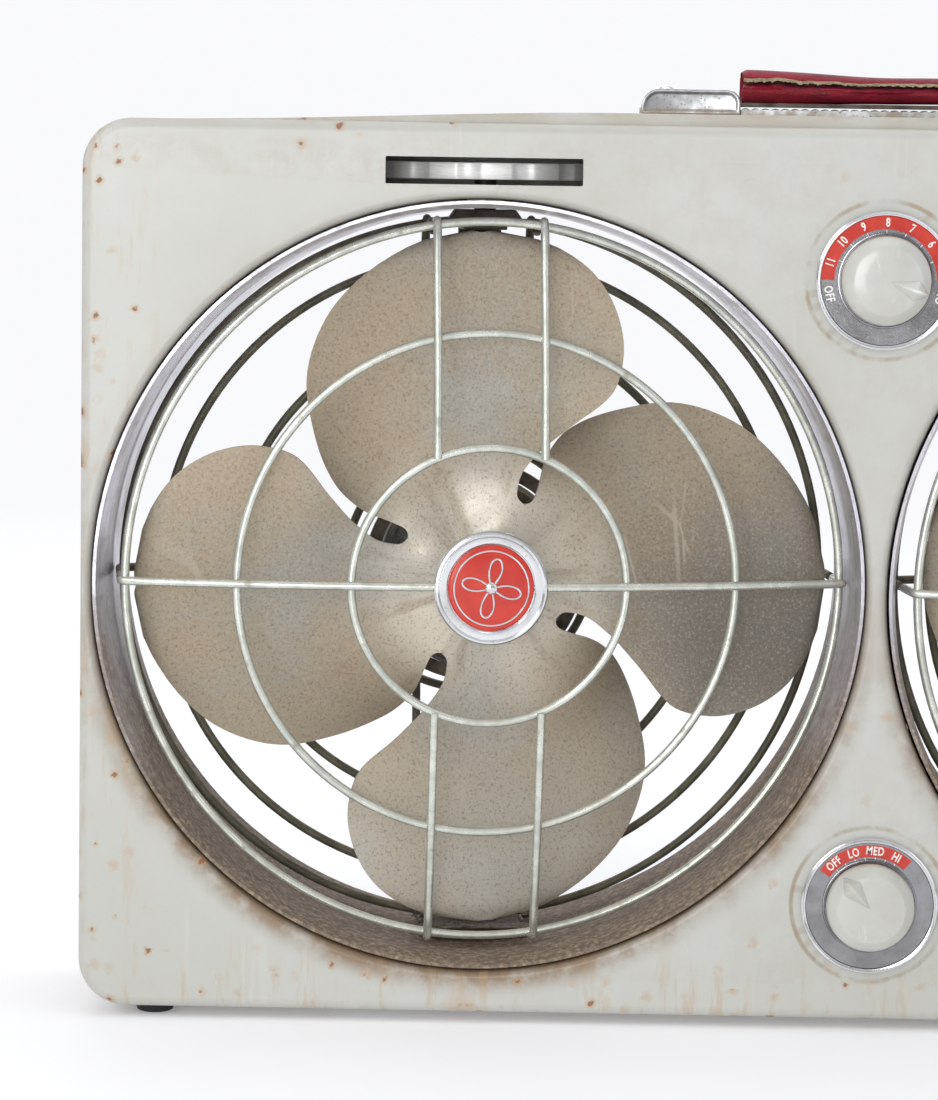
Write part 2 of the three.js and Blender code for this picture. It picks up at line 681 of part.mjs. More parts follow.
function frontGuard() {
  const edge = -RING_FROM_AXIS;
  const rise = -FRONT_DOME;
  const rings = [
    wireRing(GUARD_RADIUS, edge, GUARD_SIDES[0]),
    wireRing(FRONT_RINGS[0], domeY(FRONT_RINGS[0], edge, rise), GUARD_SIDES[1]),
    wireRing(FRONT_RINGS[1], domeY(FRONT_RINGS[1], edge, rise), GUARD_SIDES[2]),
  ];
  const uprights = [];
  const levels = [];
  [-1, 1].forEach((sign) => {
    [-1, 1].forEach((side) => {
      const start = Math.sqrt(FRONT_RINGS[1] ** 2 - BAR_OFFSET ** 2);
      const end = Math.sqrt(GUARD_RADIUS ** 2 - BAR_OFFSET ** 2);
      uprights.push(
        domeWire("z", side * BAR_OFFSET, sign * start, sign * end, edge, rise, [[WIRE / 2, edge + WIRE]]),
      );
    });
    const tail = [
      [HEAD_CLEARANCE - 2 * GAP, edge + 4],
      [HEAD_CLEARANCE - GAP, edge + SIDE_STAY],
    ];
    levels.push(domeWire("x", 0, sign * LEVEL_WIRE_START, sign * GUARD_RADIUS, edge, rise, tail));
  });
  return join(...rings, ...uprights, ...levels);
}

function rearGuard() {
  const edge = RING_FROM_AXIS;
  const rise = REAR_DOME;
  const innermost = MOTOR_RADIUS + REAR_RING_CLEARANCE;
  const rings = [
    wireRing(GUARD_RADIUS, edge, GUARD_SIDES[0]),
    ...REAR_RINGS.map((radius) => wireRing(radius, domeY(radius, edge, rise), GUARD_SIDES[1])),
    wireRing(innermost, domeY(innermost, edge, rise), GUARD_SIDES[2]),
  ];
  const bars = [];
  [-1, 1].forEach((sign) => {
    [-1, 1].forEach((side) => {
      const start = Math.sqrt(innermost ** 2 - BAR_OFFSET ** 2);
      const end = Math.sqrt(GUARD_RADIUS ** 2 - BAR_OFFSET ** 2);
      bars.push(domeWire("z", side * BAR_OFFSET, sign * start, sign * end, edge, rise, []));
    });
    const tail = [
      [HEAD_CLEARANCE - 2 * GAP, edge - 4],
      [HEAD_CLEARANCE - GAP, edge - SIDE_STAY],
    ];
    bars.push(domeWire("x", 0, sign * innermost, sign * GUARD_RADIUS, edge, rise, tail));
  });
  return join(...rings, ...bars);
}

const LEVEL_WIRE_START = 16; // under the badge
const BADGE_BACK = domeY(LEVEL_WIRE_START, -RING_FROM_AXIS, -FRONT_DOME) - WIRE / 2 - GAP;

function badgeRim() {
  const front = BADGE_BACK - BADGE_DEPTH;
  return spinY(
    [
      [0, BADGE_BACK - BADGE_PLATE],
      [DISC_RADIUS + GAP, BADGE_BACK - BADGE_PLATE],
      [DISC_RADIUS + GAP, front + 1],
      [DISC_RADIUS + 2, front],
      [BADGE_RADIUS - 1, front + 1.6],
      [BADGE_RADIUS, BADGE_BACK],
      [0, BADGE_BACK],
    ],
    DIAL_SIDES,
  );
}

function badgeDisc() {
  const front = BADGE_BACK - BADGE_DEPTH + 0.6;
  const back = BADGE_BACK - BADGE_PLATE - GAP;
  return spinY([[0, front], [DISC_RADIUS - 1, front + 0.2], [DISC_RADIUS, back], [0, back]], DIAL_SIDES);
}

// Half of the motor's casing: a cup with a bearing nose. It opens towards +Y.
function motorBell(depth) {
  const wall = MOTOR_RADIUS - BELL_WALL;
  const bore = SHAFT_RADIUS + RUN;
  return spinY(
    [
      [bore, 0],
      [MOTOR_RADIUS - BELL_SHOULDER, 0],
      [MOTOR_RADIUS, BELL_SHOULDER],
      [MOTOR_RADIUS, depth],
      [wall, depth],
      [wall, BELL_SHOULDER + 1],
      [wall - BELL_SHOULDER + 0.5, BELL_WALL],
      [NOSE_RADIUS, BELL_WALL],
      [NOSE_RADIUS, NOSE_LENGTH],
      [bore, NOSE_LENGTH],
      [bore, 0],
    ],
    MOTOR_SIDES,
  );
}

// The laminated ring, which the yoke's hoop goes round.
function stator() {
  const back = STATOR_FRONT + STATOR_LENGTH;
  return ringY(STATOR_BORE, MOTOR_RADIUS, STATOR_FRONT, back, MOTOR_SIDES);
}

// The hoop round the stator, two flat arms, and at each end a tab bent forward under the pivot.
function motorYoke() {
  const hoopInner = MOTOR_RADIUS + 2 * GAP;
  const hoop = ringY(hoopInner, hoopInner + YOKE_HOOP, YOKE_BACK - YOKE_THICK, YOKE_BACK, MOTOR_SIDES);
  const low = hoopInner + YOKE_HOOP / 2;
  const armLength = TAB_TOP - low;
  const middle = YOKE_BACK - YOKE_THICK / 2;
  const tabDepth = YOKE_BACK - TAB_FRONT;
  const ends = [];
  [-1, 1].forEach((up) => {
    ends.push(box(YOKE_WIDTH, YOKE_THICK, armLength, 0, middle, up * (low + armLength / 2)));
    const tabZ = up * (TAB_TOP - YOKE_THICK / 2);
    ends.push(box(YOKE_WIDTH, tabDepth, YOKE_THICK, 0, YOKE_BACK - tabDepth / 2, tabZ));
  });
  return join(hoop, ...ends);
}

// The bracket that carries a head on its pivot: a plate with two turned-in prongs, a raised boss and
// the stem. The upper stem reaches through the thumbwheel, the lower one into its bush.
function pivotBracket(stemEnd) {
  const middle = BRACKET_LOW + BRACKET_THICK / 2;
  const plate = box(BRACKET_WIDTH, BRACKET_DEPTH, BRACKET_THICK, 0, 0, middle);
  const prongs = [-1, 1].map((side) => {
    const x = (side * (BRACKET_WIDTH - BRACKET_THICK)) / 2;
    return box(BRACKET_THICK, BRACKET_DEPTH / 2, PRONG_DROP, x, 0, BRACKET_TOP - PRONG_DROP / 2);
  });
  const bossFoot = BOSS_WIDTH / 2 + BOSS_HEIGHT;
  const bossTop = BRACKET_TOP + BOSS_HEIGHT;
  const bossSide = outline([
    [-bossFoot, middle],
    [bossFoot, middle],
    [BOSS_WIDTH / 2, bossTop],
    [-BOSS_WIDTH / 2, bossTop],
  ]);
  const bossDepth = BRACKET_DEPTH - 4;
  const boss = plateXZ(bossSide, bossDepth, -bossDepth / 2);
  const stem = rodZ(STEM_RADIUS, middle, stemEnd);
  return join(plate, ...prongs, boss, stem);
}

// A fluted wheel: round lands between shallow finger flutes.
function thumbwheel() {
  const wheel = ringZ(STEM_RADIUS + RUN, WHEEL_RADIUS, -WHEEL_THICK / 2, WHEEL_THICK / 2, WHEEL_SIDES);
  const flutes = [];
  for (let i = 0; i < WHEEL_FLUTES; i += 1) {
    const angle = ((i + 0.5) / WHEEL_FLUTES) * 2 * Math.PI;
    const reach = WHEEL_RADIUS + FLUTE_RADIUS - FLUTE_DEPTH;
    const tool = rodZ(FLUTE_RADIUS, -WHEEL_THICK, WHEEL_THICK, 12);
    flutes.push(tool.translate(reach * Math.sin(angle), reach * Math.cos(angle), 0));
  }
  return cut(wheel, ...flutes).translate(0, 0, WHEEL_ABOVE_AXIS);
}

// ---- Blade set ----

// Where a blade's two edges lie, in degrees round from its middle line, at shares of its radius.
const ROOT_SHARE = 0.2;
const LEADING_EDGE = [
  [ROOT_SHARE, 57],
  [0.38, 57],
  [0.53, 51],
  [0.65, 43.5],
  [0.77, 36],
  [0.875, 26],
  [0.96, 13],
  [1, 2],
];
const TRAILING_EDGE = [
  [ROOT_SHARE, -33],
  [0.255, -33],
  [0.32, -26],
  [0.5, -33],
  [0.64, -39.5],
  [0.75, -38],
  [0.85, -33],
  [0.95, -23.5],
  [1, -12],
];

// An edge's angle at a share of the radius, from a smooth curve through its points.
function edgeAngle(edge, share) {
  const curve = new THREE.SplineCurve(edge.map(([at, angle]) => new THREE.Vector2(at, angle)));
  let low = 0;
  let high = 1;
  for (let i = 0; i < 24; i += 1) {
    const middle = (low + high) / 2;
    if (curve.getPoint(middle).x < share) low = middle;
    else high = middle;
  }
  return curve.getPoint((low + high) / 2).y * (Math.PI / 180);
}

// How much of the twist a blade has at a radius: none at the flat hub, all of it from mid-blade out.
function twistShare(radius) {
  return THREE.MathUtils.smoothstep(radius, 0.7 * DISH_RADIUS, 0.55 * BLADE_RADIUS);
}

function blade() {
  const rows = 7;
  const columns = 5;
  const geometry = new THREE.BoxGeometry(1, 1, 1, columns, 1, rows);
  const position = geometry.attributes.position;
  for (let i = 0; i < position.count; i += 1) {
    const across = position.getX(i) + 0.5;
    const along = position.getZ(i) + 0.5;
    const share = ROOT_SHARE + (1 - ROOT_SHARE) * Math.sin((along * Math.PI) / 2);
    const radius = BLADE_RADIUS * share;
    const leading = edgeAngle(LEADING_EDGE, share);
    const trailing = edgeAngle(TRAILING_EDGE, share);
    const angle = leading + (trailing - leading) * across;
    const y = BLADE_PLANE + BLADE_TWIST * angle * twistShare(radius);
    const thick = position.getY(i) * BLADE_SHEET;
    position.setXYZ(i, -radius * Math.sin(angle), y + thick, radius * Math.cos(angle));
  }
  return geometry;
}

// The pressed one-piece propeller: a round middle and four blades.
function propeller() {
  const front = BLADE_PLANE - BLADE_SHEET / 2;
  const dish = ringY(SHAFT_RADIUS + RUN, DISH_RADIUS, front, front + BLADE_SHEET, DIAL_SIDES);
  const blades = [0, 1, 2, 3].map((i) => blade().rotateY((i * Math.PI) / 2));
  return join(dish, ...blades);
}

function hubCollar() {
  const back = BLADE_PLANE - BLADE_SHEET / 2 - GAP;
  const front = back - COLLAR_LENGTH;
  const bore = SHAFT_RADIUS + RUN;
  return spinY([
    [bore, front],
    [0.65 * COLLAR_RADIUS, front],
    [COLLAR_RADIUS, back - 2],
    [COLLAR_RADIUS, back],
    [bore, back],
    [bore, front],
  ]);
}

function bladeShaft() {
  return rodY(SHAFT_RADIUS, BLADE_PLANE - SHAFT_NOSE, MOTOR_FRONT + MOTOR_LENGTH - BELL_WALL);
}

function rotor() {
  const front = STATOR_MIDDLE - ROTOR_LENGTH / 2;
  return ringY(SHAFT_RADIUS + RUN, ROTOR_RADIUS, front, front + ROTOR_LENGTH, MOTOR_SIDES);
}

function fan(label, side, phase) {
  const head = new THREE.Group();
  const bellDepth = (MOTOR_LENGTH - STATOR_LENGTH) / 2 - GAP;
  const rearBell = motorBell(bellDepth)
    .rotateZ(Math.PI)
    .translate(0, MOTOR_FRONT + MOTOR_LENGTH, 0);
  const upperStemEnd = WHEEL_ABOVE_AXIS + WHEEL_THICK / 2;
  const lowerStemEnd = THROAT_RADIUS + SHEET + LOWER_STEM_REACH;
  const blades = propeller().rotateY(-phase * (Math.PI / 180));
  head.add(
    part(`${label}_front_guard`, frontGuard(), zincWire()),
    part(`${label}_rear_guard`, rearGuard(), darkWire()),
    part(`${label}_badge_rim`, badgeRim(), chrome()),
    part(`${label}_badge_disc`, badgeDisc(), redEnamel()),
    part(`${label}_motor_front_bell`, motorBell(bellDepth).translate(0, MOTOR_FRONT, 0), blackPaint()),
    part(`${label}_motor_rear_bell`, rearBell, blackPaint()),
    part(`${label}_motor_stator`, stator(), dullSteel()),
    part(`${label}_motor_yoke`, motorYoke(), dullSteel()),
    part(`${label}_upper_pivot`, pivotBracket(upperStemEnd), dullSteel()),
    part(`${label}_lower_pivot`, pivotBracket(lowerStemEnd).rotateY(Math.PI), dullSteel()),
    part(`${label}_thumbwheel`, thumbwheel(), chrome()),
    part(`${label}_propeller`, blades, dustyBlade()),
    part(`${label}_hub_collar`, hubCollar(), dullSteel()),
    part(`${label}_motor_shaft`, bladeShaft(), dullSteel()),
    part(`${label}_rotor`, rotor(), dullSteel()),
  );
  head.position.set((side * FAN_SPACING) / 2, 0, FAN_Z);
  head.rotation.z = HEAD_TURN * (Math.PI / 180);
  return head;
}

// ---- The whole object ----

const ventilator = new THREE.Group();
const upperDial = FAN_Z + DIAL_FROM_FAN_AXIS;
const lowerDial = FAN_Z - DIAL_FROM_FAN_AXIS;
ventilator.add(
  frontShell(),
  rearShell(),
  boreLiner("left_bore_liner", -1),
  boreLiner("right_bore_liner", 1),
  pivotBush("left_upper_bush", -1, 1),
  pivotBush("left_lower_bush", -1, -1),
  pivotBush("right_upper_bush", 1, 1),
  pivotBush("right_lower_bush", 1, -1),
  foot("front_left_foot", -1, -1),
  foot("front_right_foot", 1, -1),
  foot("rear_left_foot", -1, 1),
  foot("rear_right_foot", 1, 1),
  cordInlet(),
  handleCap("left_handle_cap", -1),
  handleCap("right_handle_cap", 1),
  capScrew("left_cap_screw", -1),
  capScrew("right_cap_screw", 1),
  handleStrip(),
  handleStrap(),
  handleGrip(),
  dialBezel("thermostat_bezel", upperDial),
  dialKnob("thermostat_knob", upperDial, -THERMOSTAT_REST),
  dialSpindle("thermostat_spindle", upperDial),
  dialDevice("thermostat_body", upperDial, THERMOSTAT_BODY, brass()),
  dialBezel("speed_bezel", lowerDial),
  dialKnob("speed_knob", lowerDial, 90 + SPEED_REST),
  dialSpindle("speed_spindle", lowerDial),
  dialDevice("speed_switch_body", lowerDial, SWITCH_BODY, blackPaint()),
  fan("left", -1, LEFT_BLADE_PHASE),
  fan("right", 1, RIGHT_BLADE_PHASE),
);

// The knobs stand out in front and the cord inlet behind, so the box's middle is off the case's.
const rearmost = BACK - SHEET / 2 + INLET_REACH;
ventilator.position.y = -(KNOB_FRONT + rearmost) / 2;

const object = new THREE.Group();
object.add(ventilator);

export default object;
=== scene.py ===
"""The visible surface of a twin-fan box ventilator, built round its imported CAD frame."""

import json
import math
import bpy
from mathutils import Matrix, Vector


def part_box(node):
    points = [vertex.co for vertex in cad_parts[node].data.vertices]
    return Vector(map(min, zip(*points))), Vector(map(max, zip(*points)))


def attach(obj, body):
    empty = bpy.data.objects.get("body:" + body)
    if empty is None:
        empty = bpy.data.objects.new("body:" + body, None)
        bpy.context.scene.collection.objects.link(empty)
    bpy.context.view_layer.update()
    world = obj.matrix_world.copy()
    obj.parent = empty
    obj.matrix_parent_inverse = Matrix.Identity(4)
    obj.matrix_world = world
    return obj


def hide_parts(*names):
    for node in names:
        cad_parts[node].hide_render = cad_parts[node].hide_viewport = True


bl_info = {
    "name": "Twin-fan box ventilator",
    "version": (1, 0, 0),
    "blender": (4, 5, 0),
    "location": "3D View > Sidebar > Ventilator",
    "description": "Adds the pieces of an aged twin-fan box ventilator, and a plain stage for it",
    "category": "Add Mesh",
}

import bmesh
import bpy
from mathutils import Matrix, Vector, noise

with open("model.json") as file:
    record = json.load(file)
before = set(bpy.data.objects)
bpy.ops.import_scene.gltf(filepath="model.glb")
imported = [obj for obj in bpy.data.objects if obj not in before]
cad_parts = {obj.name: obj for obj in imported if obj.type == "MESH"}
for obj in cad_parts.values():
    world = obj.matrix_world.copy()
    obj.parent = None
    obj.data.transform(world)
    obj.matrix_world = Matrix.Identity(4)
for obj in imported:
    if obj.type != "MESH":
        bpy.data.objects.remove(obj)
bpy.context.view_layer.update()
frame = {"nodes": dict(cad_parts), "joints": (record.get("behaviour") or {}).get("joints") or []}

# ---- Places, from the frame ----

MM = 0.001
SIDES = ("left", "right")
JOINTS = {joint["name"]: joint for joint in frame["joints"]}
PIVOT = {side: Vector(JOINTS[f"{side}_head_swivel"]["pos_m"]) for side in SIDES}
SPIN_AXIS = Vector(JOINTS["left_blade_spin"]["axis"])
HEAD_TURN = math.atan2(-SPIN_AXIS.x, SPIN_AXIS.y)
SHELL_LOW, SHELL_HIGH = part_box("front_shell")
FRONT_Y = SHELL_LOW.y
SEAM_Y = SHELL_HIGH.y
BACK_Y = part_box("rear_shell")[1].y
MIDDLE_Y = PIVOT["left"].y


def middle_of(node):
    low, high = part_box(node)
    return (low + high) / 2


DIAL_HEIGHTS = {dial: middle_of(f"{dial}_bezel").z for dial in ("thermostat", "speed")}
SHEET = 1.2 * MM
NEAR = 0.3 * MM  # how close to an opening's edge a point counts as on it
HOLE_SIDES = 128
TINY = 1e-6
WELD = 4e-6


def head_place(side):
    """Where a fan head stands: turned on its swivel axis, at its fan's middle."""
    return Matrix.Translation(PIVOT[side]) @ Matrix.Rotation(HEAD_TURN, 4, "Z")


# ---- Sizes and colours that a user would change ----


def length(name, description, millimetres):
    return bpy.props.FloatProperty(
        name=name, description=description, default=millimetres * MM, unit="LENGTH", precision=5
    )


def colour(name, description, red, green, blue):
    return bpy.props.FloatVectorProperty(
        name=name,
        description=description,
        default=(red, green, blue),
        size=3,
        min=0,
        max=1,
        subtype="COLOR",
    )


class CaseSizes(bpy.types.PropertyGroup):
    corner: length("Corner radius", "Radius of the case's corners, seen from the front", 17.5)
    edge: length("Soft edge", "Radius between the case's faces and its sides", 4)
    crown: length("Crown", "Rise of the arched top above the case's sides", 4.2)
    bore: length("Bore radius", "Clear radius of the front opening round each fan", 139.4)
    rear_bore: length("Rear bore radius", "Clear radius of the rear opening", 136.4)
    lip: length("Lip", "Radius of the rolled lip of a front opening", 3.2)
    throat: length("Throat radius", "Inside radius of the liner where the head turns", 136)
    tail: length("Tail radius", "Inside radius of the liner at its back end", 134.6)


class FanSizes(bpy.types.PropertyGroup):
    wire: length("Wire", "Diameter of the guard wires", 3.2)
    ring: length("Outer ring radius", "Radius of a guard's outer wire", 131.03)
    ring_offset: length("Ring offset", "An outer ring in front of or behind the swivel axis", 21)
    front_dome: length("Front dome", "Rise of the front guard's middle", 17)
    rear_dome: length("Rear dome", "Rise of the rear guard's middle", 18)
    bar_offset: length("Bar offset", "Upright wires to each side of the fan's middle", 19.5)
    blade: length("Blade radius", "Radius of the blade tips", 127.03)
    sheet: length("Blade sheet", "Thickness of the pressed blades", 1.2)
    twist: length("Blade twist", "Rise of a blade for each radian round the shaft", 24)
    badge: length("Badge radius", "Outer radius of the badge's rim", 20.75)
    motor: length("Motor radius", "Outer radius of the motor's bells", 36)


class FinishColours(bpy.types.PropertyGroup):
    enamel: colour("Enamel", "Case paint", 0.53, 0.53, 0.497)
    rust: colour("Rust", "Rust in chips and along edges", 0.24, 0.085, 0.025)
    grime: colour("Grime", "Oily brown dirt", 0.13, 0.085, 0.048)
    dust: colour("Dust", "Baked tan dust", 0.45, 0.36, 0.25)
    blade: colour("Blade", "Grey paint of the blades", 0.36, 0.345, 0.3)
    liner: colour("Liner", "Bare drawn steel", 0.66, 0.65, 0.7)
    zinc: colour("Zinc", "Plate of the front guard wires", 0.74, 0.76, 0.69)
    chrome: colour("Chrome", "Bright plate", 0.78, 0.79, 0.81)
    red: colour("Red", "Badge and scale enamel", 0.52, 0.02, 0.008)
    cream: colour("Cream", "Moulded knob plastic", 0.56, 0.565, 0.525)
    vinyl: colour("Vinyl", "Grip covering", 0.27, 0.006, 0.022)


# ---- Modelling helpers ----


def clear_selection():
    if bpy.context.object and bpy.context.object.mode != "OBJECT":
        bpy.ops.object.mode_set(mode="OBJECT")
    bpy.ops.object.select_all(action="DESELECT")


def take(piece):
    clear_selection()
    piece.select_set(True)
    bpy.context.view_layer.objects.active = piece
    return piece


def named(name):
    piece = bpy.context.object
    piece.name = name
    piece.data.name = name
    return piece


def settle(piece):
    """Moves a piece's place, turn and scale into its mesh."""
    take(piece)
    bpy.ops.object.transform_apply(location=True, rotation=True, scale=True)
    return piece


def block(name, low, high):
    clear_selection()
    low, high = Vector(low), Vector(high)
    bpy.ops.mesh.primitive_cube_add(size=1, location=(low + high) / 2)
    bpy.context.object.scale = high - low
    return settle(named(name))


def bar(name, radius, start, end, sides=24, taper=1):
    """A round bar between two points, narrower at its end by a taper."""
    clear_selection()
    run = Vector(end) - Vector(start)
    bpy.ops.mesh.primitive_cone_add(
        vertices=sides, radius1=radius, radius2=radius * taper, depth=run.length
    )
    piece = named(name)
    middle = Matrix.Translation((Vector(start) + Vector(end)) / 2)
    piece.matrix_world = middle @ run.to_track_quat("Z", "Y").to_matrix().to_4x4()
    return settle(piece)


def pick(piece, kind, test):
    """In edit mode, selects only the faces, edges or vertices that pass a test."""
    mesh = bmesh.from_edit_mesh(piece.data)
    mode = {"faces": "FACE", "edges": "EDGE", "verts": "VERT"}[kind]
    bpy.ops.mesh.select_mode(type=mode)
    bpy.ops.mesh.select_all(action="DESELECT")
    mesh = bmesh.from_edit_mesh(piece.data)
    for element in getattr(mesh, kind):
        if test(element):
            element.select = True
    mesh.select_flush_mode()
    bmesh.update_edit_mesh(piece.data)


def begin_edit(piece):
    take(piece)
    bpy.ops.object.mode_set(mode="EDIT")
    bpy.ops.mesh.select_mode(type="VERT")
    bpy.ops.mesh.select_all(action="SELECT")


def end_edit():
    bpy.ops.object.mode_set(mode="OBJECT")


def end_edit_outwards():
    """Leaves edit mode with every face turned outwards."""
    bpy.ops.mesh.select_all(action="SELECT")
    bpy.ops.mesh.normals_make_consistent(inside=False)
    end_edit()


def soften(piece, width, segments, test=None):
    """Bevels the edges that pass a test, or every edge that is sharper than 30 degrees."""
    begin_edit(piece)
    sharp = math.radians(30)
    pick(piece, "edges", test or (lambda edge: edge.is_manifold and edge.calc_face_angle(0) > sharp))
    bpy.ops.mesh.bevel(offset=width, segments=segments, affect="EDGES", profile=0.5, clamp_overlap=True)
    end_edit()
    return piece


def weld(piece):
    """Merges doubles and turns every face outwards."""
    begin_edit(piece)
    bpy.ops.mesh.remove_doubles(threshold=WELD)
    bpy.ops.mesh.normals_make_consistent(inside=False)
    end_edit()
    return piece


def with_modifier(piece, kind, **settings):
    take(piece)
    modifier = piece.modifiers.new(kind.title(), kind)
    for name, value in settings.items():
        setattr(modifier, name, value)
    bpy.ops.object.modifier_apply(modifier=modifier.name)
    return piece


def combined(piece, tool, operation="DIFFERENCE"):
    """Cuts a tool out of a piece, or adds it, and removes the tool."""
    with_modifier(piece, "BOOLEAN", object=tool, operation=operation, solver="EXACT")
    bpy.data.objects.remove(tool)
    return piece


def joined(name, pieces):
    clear_selection()
    for piece in pieces:
        piece.select_set(True)
    bpy.context.view_layer.objects.active = pieces[0]
    if len(pieces) > 1:
        bpy.ops.object.join()
    return named(name)


def copied(piece, name, place=None):
    copy = piece.copy()
    copy.data = piece.data.copy()
    copy.name = name
    copy.data.name = name
    bpy.context.scene.collection.objects.link(copy)
    if place:
        copy.data.transform(place)
    return copy


def ring_of(piece, radius, along):
    """Moves the selected ring of vertices to a radius, and to a place along the Y axis."""
    mesh = bmesh.from_edit_mesh(piece.data)
    for vert in mesh.verts:
        if vert.select:
            reach = math.hypot(vert.co.x, vert.co.z)
            share = max(radius, TINY) / reach
            vert.co = Vector((vert.co.x * share, along, vert.co.z * share))
    bmesh.update_edit_mesh(piece.data)


def turned(name, profile, sides=64, place=None, closed=False):
    """A profile of radius and Y, in millimetres, turned about the Y axis by extruding a circle."""
    clear_selection()
    bpy.ops.mesh.primitive_circle_add(vertices=sides, radius=1, rotation=(math.pi / 2, 0, 0))
    piece = settle(named(name))
    begin_edit(piece)
    bpy.ops.mesh.select_mode(type="EDGE")
    bpy.ops.mesh.select_all(action="SELECT")
    points = list(profile) + ([profile[0]] if closed else [])
    ring_of(piece, points[0][0] * MM, points[0][1] * MM)
    for radius, along in points[1:]:
        bpy.ops.mesh.extrude_edges_move()
        ring_of(piece, radius * MM, along * MM)
    end_edit()
    weld(piece)
    if place:
        piece.data.transform(place)
    return piece


def wire(name, points, radius, sides=8, ends=True, resolution=6):
    """A round wire along a smooth curve through points, with rounded ends."""
    clear_selection()
    bpy.ops.curve.primitive_bezier_curve_add()
    piece = named(name)
    curve = piece.data
    curve.dimensions = "3D"
    spline = curve.splines[0]
    spline.bezier_points.add(len(points) - len(spline.bezier_points))
    for handle, point in zip(spline.bezier_points, points):
        handle.co = point
        handle.handle_left_type = handle.handle_right_type = "AUTO"
    spline.resolution_u = resolution
    curve.bevel_depth = radius
    curve.bevel_resolution = max(sides // 2 - 2, 1)
    curve.use_fill_caps = ends
    bpy.ops.object.convert(target="MESH")
    return weld(bpy.context.object)


def ring_wire(name, radius, along, size, sides=12, turns=144):
    clear_selection()
    bpy.ops.mesh.primitive_torus_add(
        major_segments=turns,
        minor_segments=sides,
        major_radius=radius,
        minor_radius=size / 2,
        location=(0, along, 0),
        rotation=(math.pi / 2, 0, 0),
    )
    return settle(named(name))


def remember_home(piece):
    """Stores each point's place before the piece is put down, so that a pattern follows the piece."""
    home = piece.data.attributes.new("home", "FLOAT_VECTOR", "POINT")
    home.data.foreach_set("vector", [value for vert in piece.data.vertices for value in vert.co])


def coated(piece, *materials):
    piece.data.materials.clear()
    for material in materials:
        piece.data.materials.append(material)
    return piece


def fitted(piece, body, nodes=(), angle=35):
    """Smooths a piece, says what it rides on, and hides the frame's parts that it stands for."""
    take(piece)
    bpy.ops.object.shade_smooth_by_angle(angle=math.radians(angle))
    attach(piece, body)
    if nodes:
        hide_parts(*nodes)
    return piece


def on_both_heads(model, label, node, body="head", turns=None, angle=35):
    """Puts a copy of a model on each fan, and removes the model."""
    remember_home(model)
    for side in SIDES:
        place = head_place(side)
        if turns:
            place = place @ Matrix.Rotation(turns[side], 4, "Y")
        piece = copied(model, f"{side}_{label}", place)
        fitted(piece, f"{side}_{body}", [f"{side}_{node}"], angle)
    bpy.data.objects.remove(model)


def flat_text(name, words, height, thickness):
    """Upright lettering that faces the front, centred on the origin."""
    clear_selection()
    bpy.ops.object.text_add(rotation=(math.pi / 2, 0, 0))
    piece = named(name)
    piece.data.body = words
    piece.data.size = height
    piece.data.align_x = "CENTER"
    piece.data.align_y = "CENTER"
    piece.data.extrude = thickness / 2
    piece.data.offset = height * 0.022
    piece.data.space_character = 1.1
    piece.data.resolution_u = 3
    piece.scale = (0.72, 1, 1)
    bpy.ops.object.convert(target="MESH")
    return settle(bpy.context.object)


# ---- Shader helpers ----


